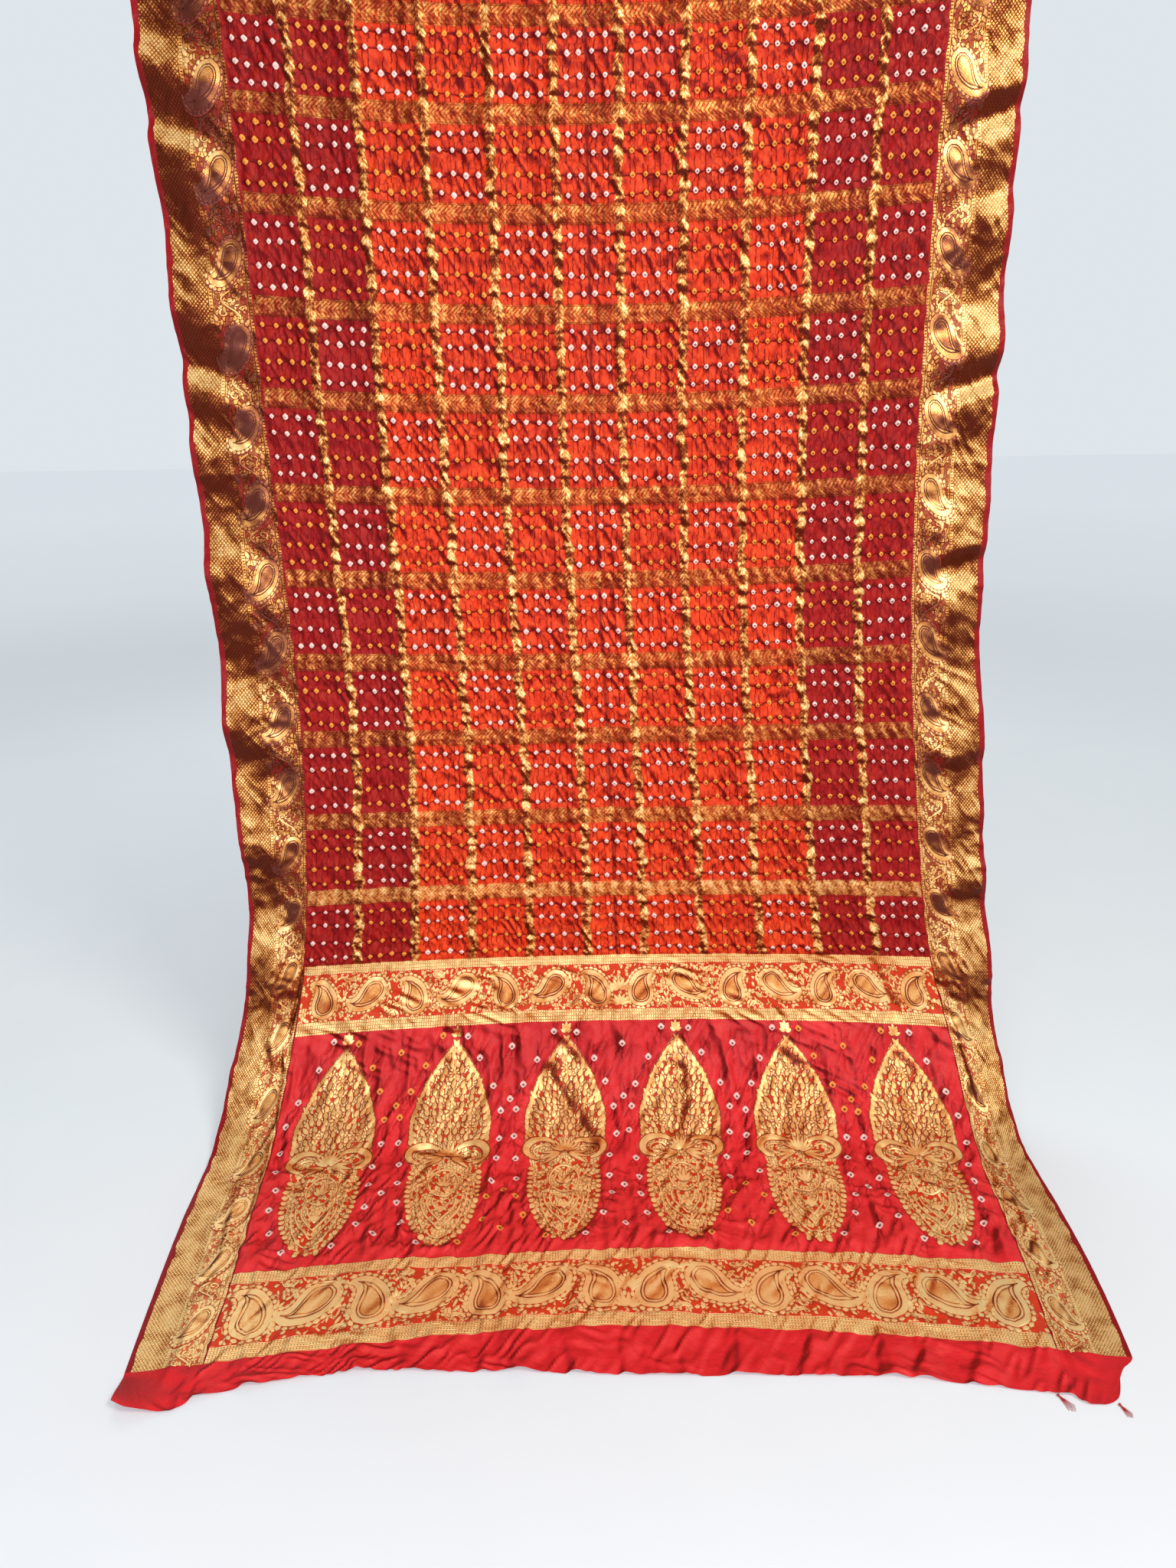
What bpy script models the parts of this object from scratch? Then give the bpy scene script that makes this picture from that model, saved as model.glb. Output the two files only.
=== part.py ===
"""A length of tie-dyed silk with gold checks, hung from its top hem.

The cloth falls straight, sweeps out in a quarter circle and lies on the floor in front of itself.
The origin is the middle of the top hem: X to the right, Y into the wall, Z up, metres.
A point of the cloth is found from two numbers. across is 0 in the middle, 1 at the field's edges
and 2 at the cloth's own edges, negative to the left. along is the way down the middle of the
cloth from the top hem.
"""

import math

import bmesh
import bpy
import numpy as np
from mathutils import Matrix, Vector

# Driving dimensions
DROP = 1.600            # from the middle of the top hem down to the floor
SWEEP_RADIUS = 0.200    # of the bend from hanging to lying
THICKNESS = 0.0015
CHECK_PITCH = 0.1845    # between gold stripes, in across units
STRIPE_COUNT = 10
CHECK_RELIEF = 0.0022   # how far a puckered stripe stands out, and a check's middle lies back
RELIEF_FADES = (1.300, 1.360)   # along: where the tied checks end
RELIEF_ENDS = (0.88, 1.00)      # across: where the field's relief dies out
FOLDS_GROW = (0.92, 1.70)       # across: from the field to the full folds of the border
BORDER_WIDTH = 0.088            # of a border where it lies on the floor
BORDER_BOW = 0.2                # how much further a row bows over the border, beside 1 over half the field
FLUTE_HEIGHT = 0.0045   # of the soft flutes of the plain end
FLUTES_GROW = (1.860, 2.050)    # along: from flat on the floor to the hem
PLAIN_END = (1.983, 2.052)      # along: from the last gold line to the hem
CORNER_LIFT = 0.014     # of the curled left corner
CORNER_SIZE = 0.070     # how far the curl reaches in from the corner
FOLD_SLANT = 0.030      # how much lower a border fold meets the field than the edge
LINE_GAP = 0.013        # the smallest distance between two rows of points

TUFT_KNOT = 0.0017      # radius of the knot at the root of a thread tuft
TUFT_STRAND = 0.0006    # radius of its strands at the root
TUFT_GAP = 0.0007       # between the knot and the hem
TUFT_SPREAD = (-14.0, -6.0, 1.0, 8.0, 16.0)     # degrees from the tuft's own heading to each strand

FALL_END = DROP - SWEEP_RADIUS
SWEEP_END = FALL_END + SWEEP_RADIUS * math.pi / 2.0


def table(columns, rows):
    """An array of the rows whose columns are read by name."""
    return np.array([tuple(row) for row in rows], dtype=[(name, float) for name in columns.split()])


# Where the edges run: x of the cloth's and the field's edges, and how far the edges ride above the middle
EDGES = table("along left field_left field_right right rise", [
    (0.00, -0.525, -0.417, 0.428, 0.524, 0.022),
    (0.35, -0.511, -0.410, 0.422, 0.520, 0.020),
    (0.62, -0.508, -0.408, 0.423, 0.525, 0.013),
    (0.85, -0.505, -0.401, 0.432, 0.527, 0.008),
    (1.00, -0.510, -0.400, 0.447, 0.547, 0.000),
    (1.20, -0.504, -0.413, 0.473, 0.568, -0.008),
    (1.34, -0.514, -0.430, 0.497, 0.591, -0.012),
    (1.47, -0.547, -0.459, 0.540, 0.610, -0.020),
    (1.58, -0.559, -0.471, 0.548, 0.614, -0.026),
    (1.71, -0.564, -0.469, 0.542, 0.622, -0.030),
    (1.86, -0.555, -0.460, 0.535, 0.620, -0.036),
    (1.99, -0.545, -0.457, 0.522, 0.607, -0.046),
    (2.06, -0.538, -0.455, 0.518, 0.596, -0.046),
])

# How far the hem reaches out from the wall
HEM = table("across reach", [
    (-2.00, 0.571), (-1.86, 0.581), (-1.20, 0.577), (-0.95, 0.558), (-0.88, 0.540), (-0.76, 0.536),
    (-0.60, 0.521), (-0.45, 0.531), (-0.30, 0.528), (0.00, 0.538), (0.35, 0.541), (0.66, 0.546),
    (0.80, 0.560), (0.93, 0.568), (1.10, 0.586), (1.50, 0.588), (1.78, 0.577), (2.00, 0.552),
])

# The folds of the two borders: path down the edge, and how far each crest or hollow stands out
LEFT_FOLDS = table("path out", [
    (0.000, 0.000), (0.137, -0.006), (0.177, 0.009), (0.231, -0.008), (0.262, 0.008), (0.348, -0.005),
    (0.440, 0.012), (0.505, -0.008), (0.536, 0.006), (0.576, -0.004), (0.616, 0.006), (0.690, -0.006),
    (0.773, 0.013), (0.896, -0.009), (0.982, 0.009), (1.032, -0.006), (1.090, 0.002), (1.148, 0.009),
    (1.252, -0.009), (1.340, 0.008), (1.430, -0.004), (1.530, 0.004), (1.660, 0.000), (2.100, 0.000),
])
RIGHT_FOLDS = table("path out", [
    (0.000, 0.000), (0.153, -0.004), (0.209, 0.011), (0.236, -0.006), (0.267, 0.005), (0.320, -0.003),
    (0.349, 0.008), (0.438, -0.008), (0.505, 0.013), (0.538, -0.006), (0.561, 0.005), (0.617, -0.006),
    (0.742, 0.009), (0.769, -0.006), (0.804, 0.008), (0.893, -0.006), (1.025, 0.008), (1.060, -0.004),
    (1.129, 0.003), (1.164, -0.005), (1.224, 0.007), (1.267, -0.006), (1.361, 0.009), (1.440, -0.005),
    (1.540, 0.004), (1.660, 0.000), (2.100, 0.000),
])

# The two thread tufts at the hem: where they start, how long they are and how far they turn to the right
TUFTS = table("across length turn", [
    (0.965, 0.024, 28.0),
    (1.560, 0.018, 24.0),
])


def ease(low, high, value):
    """0 below low, 1 above high and a smooth step between."""
    step = np.clip((value - low) / (high - low), 0.0, 1.0)
    return step * step * (3.0 - 2.0 * step)


def waved(rows, name, value):
    """A column read between its rows along half cosine waves, so that each row is a crest or a hollow."""
    here = np.clip(np.searchsorted(rows["path"], value) - 1, 0, len(rows) - 2)
    low, high = rows["path"][here], rows["path"][here + 1]
    step = ease(low, high, value)
    return rows[name][here] * (1.0 - step) + rows[name][here + 1] * step


def edge_value(name, along):
    """A column of the edge table, read as a smooth curve: the mean of five straight readings."""
    spread = (-0.05, -0.025, 0.0, 0.025, 0.05)
    return sum(np.interp(along + shift, EDGES["along"], EDGES[name]) for shift in spread) / len(spread)


def place_x(across, along):
    left, field_left = edge_value("left", along), edge_value("field_left", along)
    field_right, right = edge_value("field_right", along), edge_value("right", along)
    middle = (field_left + field_right) / 2.0 + across * (field_right - field_left) / 2.0
    on_left = field_left + (across + 1.0) * (field_left - left)
    on_right = field_right + (across - 1.0) * (right - field_right)
    return np.where(across < -1.0, on_left, np.where(across > 1.0, on_right, middle))


def path_down(across, along):
    """The way down the cloth at this point, counted from the height of the top hem's middle."""
    bow = np.minimum(np.abs(across), 1.0) ** 2 + BORDER_BOW * np.maximum(np.abs(across) - 1.0, 0.0)
    path = along - edge_value("rise", along) * bow
    start, end = PLAIN_END
    last_line = start - edge_value("rise", np.full_like(along, start)) * bow
    hem = SWEEP_END + np.interp(across, HEM["across"], HEM["reach"]) - SWEEP_RADIUS
    share = (along - start) / (end - start)
    return np.where(along > start, last_line + share * (hem - last_line), path)


def sweep(path):
    """Height and depth of the middle of the cloth's thickness, and the angle its face has turned up."""
    turn = np.clip((path - FALL_END) / SWEEP_RADIUS, 0.0, math.pi / 2.0)
    beyond = np.maximum(path - SWEEP_END, 0.0)
    depth = -SWEEP_RADIUS * (1.0 - np.cos(turn)) - beyond
    fallen = np.minimum(path, FALL_END) + (SWEEP_RADIUS - THICKNESS / 2.0) * np.sin(turn)
    return depth, -fallen, turn


def relief(across, along, path):
    """How far the cloth stands out from the plain sweep."""
    tied = 1.0 - ease(*RELIEF_FADES, along)
    pleat = -np.cos(2.0 * math.pi * across / CHECK_PITCH)
    in_field = 1.0 - ease(*RELIEF_ENDS, np.abs(across))
    out = CHECK_RELIEF * pleat * tied * in_field

    slanted = path - FOLD_SLANT * (2.0 - np.abs(across))
    folds = np.where(across < 0.0, waved(LEFT_FOLDS, "out", slanted), waved(RIGHT_FOLDS, "out", slanted))
    out = out + folds * ease(*FOLDS_GROW, np.abs(across))

    flutes = 0.5 * (1.0 + pleat)
    out = out + FLUTE_HEIGHT * flutes * ease(*FLUTES_GROW, along)

    from_corner = np.hypot((across + 2.0) * BORDER_WIDTH, PLAIN_END[1] - along)
    return out + CORNER_LIFT * (1.0 - ease(0.0, CORNER_SIZE, from_corner))


def cloth_points(across, along):
    """Points of the middle of the cloth's thickness, as an array of rows x, y, z."""
    across, along = np.broadcast_arrays(np.asarray(across, float), np.asarray(along, float))
    path = path_down(across, along)
    depth, height, turn = sweep(path)
    out = relief(across, along, path)
    return np.stack([place_x(across, along), depth - out * np.cos(turn), height + out * np.sin(turn)], axis=-1)


def column_lines():
    """Lines of points across the cloth: two for each check, one on its stripe, and four on each border."""
    half = STRIPE_COUNT / 2.0
    stripes = [(k + 0.5 - half) * CHECK_PITCH for k in range(STRIPE_COUNT)]
    middles = [(k + 1.0 - half) * CHECK_PITCH for k in range(STRIPE_COUNT - 1)]
    last = stripes[-1]
    outside = [(last + 1.0) / 2.0, 1.0, 1.25, 1.5, 1.75, 2.0]
    return np.array(sorted(stripes + middles + outside + [-value for value in outside]))


def row_lines():
    """Lines of points down the cloth: at every fold of a border, and evenly in the sweep and on the floor."""
    sweep_rows = [FALL_END + SWEEP_RADIUS * math.radians(angle) for angle in range(-10, 100, 9)]
    floor_rows = [SWEEP_END + step for step in (0.075, 0.146, 0.190, 0.230, 0.252)]
    wanted = sorted(list(LEFT_FOLDS["path"]) + list(RIGHT_FOLDS["path"]) + list(np.arange(0.0, 1.35, 0.05)))
    hung = [value for value in wanted if value < FALL_END - 0.05]
    rows = [0.0]
    for value in sorted(hung + sweep_rows + floor_rows + list(PLAIN_END)):
        if value - rows[-1] > LINE_GAP and value < PLAIN_END[1]:
            rows.append(value)
    return np.array(rows + [(rows[-1] + PLAIN_END[1]) / 2.0, PLAIN_END[1]])


def material(name, colour, roughness, metallic=0.0):
    made = bpy.data.materials.new(name)
    made.use_nodes = True
    shader = made.node_tree.nodes["Principled BSDF"]
    shader.inputs["Base Color"].default_value = (*colour, 1.0)
    shader.inputs["Roughness"].default_value = roughness
    shader.inputs["Metallic"].default_value = metallic
    return made


def add_object(name, shape, finish, parts):
    mesh = bpy.data.meshes.new(name)
    shape.to_mesh(mesh)
    shape.free()
    mesh.materials.append(finish)
    mesh.shade_smooth()
    made = bpy.data.objects.new(name, mesh)
    parts.objects.link(made)
    return made


def make_cloth(parts, finish):
    """A plain grid whose points are moved onto the cloth, with Solidify for its thickness."""
    columns, rows = column_lines(), row_lines()
    shape = bmesh.new()
    bmesh.ops.create_grid(shape, x_segments=len(columns) - 1, y_segments=len(rows) - 1, size=1.0)
    flat = np.array([vert.co[:2] for vert in shape.verts])
    column = np.rint((flat[:, 0] + 1.0) / 2.0 * (len(columns) - 1)).astype(int)
    row = np.rint((1.0 - flat[:, 1]) / 2.0 * (len(rows) - 1)).astype(int)
    for vert, point in zip(shape.verts, cloth_points(columns[column], rows[row])):
        vert.co = point
    cloth = add_object("cloth", shape, finish, parts)
    wall = cloth.modifiers.new("thickness", "SOLIDIFY")
    wall.thickness = THICKNESS
    wall.offset = 0.0
    return cloth


def strand(start, end):
    """A four-sided tapering thread from start to end."""
    shape = bmesh.new()
    bmesh.ops.create_cone(shape, cap_ends=True, segments=4, radius1=TUFT_STRAND,
                          radius2=TUFT_STRAND * 0.6, depth=(end - start).length)
    turned = (end - start).to_track_quat("Z", "Y").to_matrix().to_4x4()
    bmesh.ops.transform(shape, verts=shape.verts, matrix=Matrix.Translation((start + end) / 2.0) @ turned)
    return shape


def make_tuft(number, row, parts, cutters, finish):
    """A knot against the hem with five strands fused to it, spread over the floor."""
    hem = Vector(cloth_points(row["across"], PLAIN_END[1]))
    floor = -DROP
    root = Vector((hem.x, hem.y - TUFT_KNOT - TUFT_GAP, floor + TUFT_KNOT))
    knot = bmesh.new()
    bmesh.ops.create_uvsphere(knot, u_segments=10, v_segments=6, radius=TUFT_KNOT)
    bmesh.ops.transform(knot, verts=knot.verts, matrix=Matrix.Translation(root))
    tuft = add_object(f"thread_tuft_{number}", knot, finish, parts)
    for spread in TUFT_SPREAD:
        heading = math.radians(row["turn"] + spread)
        reach = row["length"] * (1.0 - 0.012 * abs(spread))
        end = root + Vector((math.sin(heading), -math.cos(heading), 0.0)) * reach
        end.z = floor + TUFT_STRAND
        cutter = add_object(f"strand_{number}_{spread:+.0f}", strand(root, end), finish, cutters)
        cutter.hide_render = True
        cutter.display_type = "WIRE"
        join = tuft.modifiers.new("join", "BOOLEAN")
        join.operation = "UNION"
        join.object = cutter
    return tuft


def main():
    for old in list(bpy.data.objects):
        bpy.data.objects.remove(old, do_unlink=True)
    parts = bpy.data.collections.new("bandhani_cloth")
    cutters = bpy.data.collections.new("cutters")
    for group in (parts, cutters):
        bpy.context.scene.collection.children.link(group)
    silk = material("red silk with gold thread", (0.55, 0.05, 0.03), 0.55, 0.1)
    thread = material("red silk thread", (0.45, 0.03, 0.03), 0.7)
    make_cloth(parts, silk)
    for number, row in enumerate(TUFTS, start=1):
        make_tuft(number, row, parts, cutters, thread)


main()
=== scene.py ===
import math

import bpy
import numpy as np
from mathutils import Matrix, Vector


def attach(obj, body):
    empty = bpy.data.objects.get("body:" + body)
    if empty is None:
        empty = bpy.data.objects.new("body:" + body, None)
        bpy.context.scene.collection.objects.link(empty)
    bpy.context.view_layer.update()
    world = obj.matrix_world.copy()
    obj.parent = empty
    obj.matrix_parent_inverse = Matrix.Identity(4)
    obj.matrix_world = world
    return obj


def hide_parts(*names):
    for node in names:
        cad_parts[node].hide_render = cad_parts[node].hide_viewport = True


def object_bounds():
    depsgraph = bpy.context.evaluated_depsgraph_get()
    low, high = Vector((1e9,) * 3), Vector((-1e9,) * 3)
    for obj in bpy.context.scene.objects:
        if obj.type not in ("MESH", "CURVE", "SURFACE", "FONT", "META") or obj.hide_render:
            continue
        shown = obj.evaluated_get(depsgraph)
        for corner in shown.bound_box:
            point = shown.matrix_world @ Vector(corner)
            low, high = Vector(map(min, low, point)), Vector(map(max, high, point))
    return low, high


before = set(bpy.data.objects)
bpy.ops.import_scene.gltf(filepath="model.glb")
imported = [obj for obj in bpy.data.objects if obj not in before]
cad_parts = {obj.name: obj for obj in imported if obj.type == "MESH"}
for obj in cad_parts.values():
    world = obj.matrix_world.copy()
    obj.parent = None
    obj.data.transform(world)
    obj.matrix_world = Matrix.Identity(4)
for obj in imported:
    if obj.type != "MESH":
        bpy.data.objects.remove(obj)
cadLow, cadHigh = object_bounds()
fine = 1.0

# The cloth's own measures, in metres. across is 0 in the middle, 1 at the field's edges and 2 at the
# cloth's edges. along is the way down the middle of the cloth from the top hem.
cloth = {
    "drop": -cadLow.z, "sweepRadius": 0.200, "thickness": 0.0015, "checkPitch": 0.1845, "checkWidth": 0.077,
    "checkRelief": 0.0022, "reliefFades": (1.300, 1.360), "reliefEnds": (0.88, 1.00),
    "foldsGrow": (0.92, 1.70),
    "borderWidth": 0.100, "borderBow": 0.2, "fluteHeight": 0.0030, "flutesGrow": (1.860, 2.050),
    "plainEnd": (1.983, 2.052), "cornerLift": 0.014, "cornerSize": 0.070, "cornerBorder": 0.088,
    "foldSlant": 0.030, "tiedEnd": 1.347, "endHalfWidth": 0.500,
    "fieldCells": 354, "borderCells": 42, "tiedRows": 561, "endRows": 252, "splitAt": 0.674,
}
fallEnd = cloth["drop"] - cloth["sweepRadius"]
sweepEnd = fallEnd + cloth["sweepRadius"] * math.pi / 2

# Where the edges run: x of the edges, and how far the edges ride above the middle
edges = {
    "along": (0.00, 0.35, 0.62, 0.85, 1.00, 1.20, 1.34, 1.47, 1.58, 1.71, 1.86, 1.99, 2.06),
    "left": (-.525, -.511, -.508, -.505, -.510, -.504, -.514, -.547, -.559, -.564, -.555, -.545, -.538),
    "fieldLeft": (-.417, -.410, -.408, -.401, -.400, -.413, -.430, -.459, -.471, -.469, -.460, -.457,
                  -.455),
    "fieldRight": (.428, .422, .423, .432, .447, .473, .497, .540, .548, .542, .535, .522, .518),
    "right": (.524, .520, .525, .527, .547, .568, .591, .610, .614, .622, .620, .607, .596),
    "rise": (.022, .020, .013, .008, .000, -.008, -.012, -.020, -.026, -.030, -.036, -.046, -.046),
}
hem = {
    "across": (-2.00, -1.86, -1.20, -.95, -.88, -.76, -.60, -.45, -.30, 0, .35, .66, .80, .93, 1.10, 1.50,
               1.78, 2.00),
    "reach": (.571, .581, .577, .558, .540, .536, .521, .531, .528, .538, .541, .546, .560, .568, .586,
              .588, .577, .552),
}
# Crests and hollows of the borders: path down the edge, and how far each stands out
leftFolds = {
    "path": (0, .137, .177, .231, .262, .348, .440, .505, .536, .576, .616, .690, .773, .896, .982, 1.032,
             1.090, 1.148, 1.252, 1.340, 1.430, 1.530, 1.660, 2.1),
    "out": (0, -.006, .009, -.008, .008, -.005, .012, -.008, .006, -.004, .006, -.006, .013, -.009, .009,
            -.006, .002, .009, -.009, .008, -.004, .004, 0, 0),
}
rightFolds = {
    "path": (0, .153, .209, .236, .267, .320, .349, .438, .505, .538, .561, .617, .742, .769, .804, .893,
             1.025, 1.060, 1.129, 1.164, 1.224, 1.267, 1.361, 1.440, 1.540, 1.660, 2.1),
    "out": (0, -.004, .011, -.006, .005, -.003, .008, -.008, .013, -.006, .005, -.006, .009, -.006, .008,
            -.006, .008, -.004, .003, -.005, .007, -.006, .009, -.005, .004, 0, 0),
}
# Middles of the gold cross bands; the last stands for the start of the patterned end
bandPlaces = np.array((0.031, 0.138, 0.239, 0.346, 0.459, 0.565, 0.680, 0.789, 0.900, 1.005, 1.124, 1.239,
                       1.358))
dots = {
    "acrossCheck": (0.20, 0.40, 0.60, 0.80), "downCheck": (0.195, 0.365, 0.605, 0.800),
    "jitter": 0.020, "peak": 0.0024, "reach": 0.0036, "seed": 7,
}
stripes = {"ridge": 0.0023, "halfWidth": 0.0060, "wander": 0.0024, "twist": 0.0014}
bands = {"halfHeight": 0.0115, "stand": 0.0006, "pleat": 0.0016, "pleatPitch": 0.0165}
crinkle = {
    "pleat": 0.0014, "pleatPitch": 0.0072, "slant": 0.0013, "crease": 0.0014,
    "border": 0.0022, "end": 0.0026,
}
# The patterned end, along the cloth: lines of ladder work, two bands of paisleys and the red ground between
endParts = {
    "ladders": ((1.347, 1.361), (1.436, 1.454), (1.851, 1.869), (1.961, 1.983)),
    "upperPaisleys": (1.362, 1.435), "lowerPaisleys": (1.870, 1.960), "ground": (1.454, 1.851),
    "cones": 6, "coneFoot": 1.832, "coneTip": 1.450, "coneHalfWidth": 0.061, "paisleys": 14,
}
endDots = {"rows": 10, "start": 1.468, "pitch": 0.0392, "aside": 0.0135, "peak": 0.0016, "seed": 11}
# Creases placed on the end: start and finish (metres from the middle, metres along), width and depth
handFolds = (
    (-.110, 1.529, -.043, 1.638, .0100, -.0070), (-.475, 1.644, -.412, 1.662, .0080, -.0045),
    (-.294, 1.636, -.212, 1.650, .0090, -.0055), (-.262, 1.836, -.232, 1.836, .0070, -.0040),
    (-.270, 1.466, -.248, 1.470, .0080, -.0045), (-.100, 1.484, -.074, 1.508, .0080, -.0050),
    (-.435, 1.474, -.420, 1.480, .0070, -.0040), (-.195, 1.400, -.200, 1.425, .0060, -.0030),
    (-.056, 1.380, -.053, 1.414, .0060, -.0030), (.090, 1.535, .078, 1.612, .0070, -.0045),
    (.078, 1.620, .124, 1.630, .0085, -.0055), (.062, 1.650, .079, 1.664, .0070, -.0040),
    (.068, 1.838, .101, 1.843, .0080, -.0045), (.072, 1.523, .088, 1.527, .0070, -.0040),
    (.246, 1.507, .271, 1.534, .0100, -.0065), (.250, 1.694, .283, 1.712, .0080, -.0050),
    (.415, 1.504, .430, 1.516, .0070, -.0045), (.384, 1.693, .424, 1.727, .0090, -.0060),
    (.405, 1.355, .427, 1.440, .0090, -.0045), (.047, 1.880, .078, 1.884, .0080, -.0035),
    (.238, 1.437, .246, 1.447, .0060, -.0035), (-.150, 1.700, -.120, 1.760, .0090, -.0030),
    (.180, 1.600, .150, 1.700, .0110, -.0030), (-.500, 1.350, -.560, 1.440, .0120, -.0070),
    (-.350, 1.780, -.330, 1.830, .0080, -.0030), (.330, 1.560, .345, 1.650, .0080, -.0030),
)
# Creases of the plain end: where they cross it, how far they lean and how deep they are
plainFolds = {
    "x": (-.414, -.347, -.289, -.225, -.175, -.132, -.098, -.038, .028, .093, .159, .238, .324, .369, .430),
    "lean": (.30, .25, .35, .10, .30, -.15, .20, .10, -.10, .15, -.20, -.30, -.25, -.40, -.35),
    "depth": (.0040, .0030, .0042, .0030, .0040, .0026, .0034, .0030, .0036, .0028, .0034, .0040, .0036,
              .0034, .0040),
    "width": (.0050, .0065, .0050, .0080, .0050, .0060, .0080, .0060, .0050, .0045, .0050, .0050, .0060,
              .0055, .0060),
    "height": 0.95,
}
# Painted light and shade on the gold: how bright it is painted down each border and on the end, from 0 dark
# brown to 1 pale gold
goldLevels = {
    "along": (0, .35, .70, 1.05, 1.35, 1.50, 1.75, 2.06),
    "left": (.27, .29, .33, .37, .50, .74, .90, .95),
    "right": (.46, .54, .54, .48, .56, .74, .84, .88),
    "endAlong": (1.35, 1.44, 1.55, 1.70, 1.80),
    "end": (.84, .70, .66, .82, .88),
}
# the painted light and shade of the gold and the silk are worked out from this direction
light = np.array((0.28, -0.52, 0.81))        # towards the light that the gold answers to


# Surface


def ease(low, high, value):
    # 0 below low, 1 above high, an S curve between: 3s^2 - 2s^3
    step = np.clip((value - low) / (high - low), 0, 1)
    return step * step * (3 - 2 * step)


def bell(distance, reach):
    # a smooth bump: e to the minus of (distance / reach) squared
    return np.exp(-(distance / reach) ** 2)


def waved(folds, value):
    # half cosine waves between the rows, so that each row is a crest or a hollow
    path, out = np.array(folds["path"]), np.array(folds["out"])
    here = np.clip(np.searchsorted(path, value) - 1, 0, len(path) - 2)
    step = ease(path[here], path[here + 1], value)
    return out[here] * (1 - step) + out[here + 1] * step


def edgeValue(name, along):
    # a column of the edge table as a smooth curve: the mean of five straight readings
    shifts = (-0.05, -0.025, 0, 0.025, 0.05)
    return sum(np.interp(along + shift, edges["along"], edges[name]) for shift in shifts) / len(shifts)


def softNoise(x, y, seed):
    # value noise from -1 to 1: random numbers at whole points, blended along S curves
    table = np.random.RandomState(seed).uniform(-1, 1, (256, 256))
    column, row = np.floor(x).astype(int), np.floor(y).astype(int)
    s, t = ease(0, 1, x - column), ease(0, 1, y - row)
    near = table[row % 256, column % 256] * (1 - s) + table[row % 256, (column + 1) % 256] * s
    far = table[(row + 1) % 256, column % 256] * (1 - s) + table[(row + 1) % 256, (column + 1) % 256] * s
    return near * (1 - t) + far * t


def ridged(x, y, seed):
    # sharp crests in soft ground: 1 minus twice the size of the noise
    return 1 - 2 * np.abs(softNoise(x, y, seed))


def placeX(across, along):
    left, fieldLeft = edgeValue("left", along), edgeValue("fieldLeft", along)
    fieldRight, right = edgeValue("fieldRight", along), edgeValue("right", along)
    middle = (fieldLeft + fieldRight) / 2 + across * (fieldRight - fieldLeft) / 2
    onLeft = fieldLeft + (across + 1) * (fieldLeft - left)
    right = right - 0.013 * ease(cloth["plainEnd"][0] - 0.01, cloth["plainEnd"][1], along) ** 2
    onRight = fieldRight + (across - 1) * (right - fieldRight)
    return np.where(across < -1, onLeft, np.where(across > 1, onRight, middle))


def pathDown(across, along):
    # the way down the cloth: along, less the bow of the row, which grows with across squared
    bow = np.minimum(np.abs(across), 1) ** 2 + cloth["borderBow"] * np.maximum(np.abs(across) - 1, 0)
    start, end = cloth["plainEnd"]
    lastLine = start - edgeValue("rise", start) * bow
    shifts = (-0.10, -0.05, 0, 0.05, 0.10)
    reach = sum(np.interp(across + shift, hem["across"], hem["reach"]) for shift in shifts) / len(shifts)
    hemPath = sweepEnd + reach - 0.014 * ease(1.60, 2.0, across) ** 2 - cloth["sweepRadius"]
    share = (along - start) / (end - start)
    return np.where(along > start, lastLine + share * (hemPath - lastLine),
                    along - edgeValue("rise", along) * bow)


def bigRelief(across, along, path):
    # the solid's own folds: pleats between stripes, border folds, flutes at the hem and the lifted corner
    tied = 1 - ease(*cloth["reliefFades"], along)
    pleat = -np.cos(2 * math.pi * across / cloth["checkPitch"])
    out = cloth["checkRelief"] * pleat * tied * (1 - ease(*cloth["reliefEnds"], np.abs(across)))
    slanted = path - cloth["foldSlant"] * (2 - np.abs(across))
    folds = np.where(across < 0, waved(leftFolds, slanted), waved(rightFolds, slanted))
    out = out + folds * ease(*cloth["foldsGrow"], np.abs(across))
    flutes = ease(*cloth["flutesGrow"], along) * (1 - ease(0.95, 1.10, np.abs(across)))
    out = out + cloth["fluteHeight"] * 0.5 * (1 + pleat) * flutes
    fromCorner = np.hypot((across + 2) * cloth["cornerBorder"], cloth["plainEnd"][1] - along)
    return out + cloth["cornerLift"] * (1 - ease(0, cloth["cornerSize"], fromCorner))


def checkPlace(across, along):
    # which check a point is in, and where in it: 0 to 1 from stripe to stripe and from band to band
    columns = across / cloth["checkPitch"] + 0.5
    rows = np.interp(along, bandPlaces, np.arange(len(bandPlaces)))
    column, row = np.floor(columns).astype(int), np.minimum(np.floor(rows).astype(int), len(bandPlaces) - 2)
    return column, row, columns - column, rows - row


def nearestDot(across, along):
    # the tied dot of this point's quarter of its check, as a distance across and down in metres
    column, row, u, v = checkPlace(across, along)
    placesU, placesV = np.array(dots["acrossCheck"]), np.array(dots["downCheck"])
    i = np.clip(((u - 0.1) / 0.2).astype(int), 0, 3)
    j = (v > 0.28).astype(int) + (v > 0.485) + (v > 0.70)
    random = np.random.RandomState(dots["seed"]).uniform(-1, 1, (2, 64, 16, 4, 4)) * dots["jitter"]
    du = u - placesU[i] - random[0, column + 8, row, i, j]
    dv = v - placesV[j] - random[1, column + 8, row, i, j] * 0.7
    height = np.diff(bandPlaces)[row]
    tied = (along < cloth["tiedEnd"]) & (np.abs(across) < 1.02) & (along > 0.012)
    far = np.where(tied, 0, 1.0)
    return du * cloth["checkWidth"] + far, dv * height + far, column, row, i, j


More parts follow.
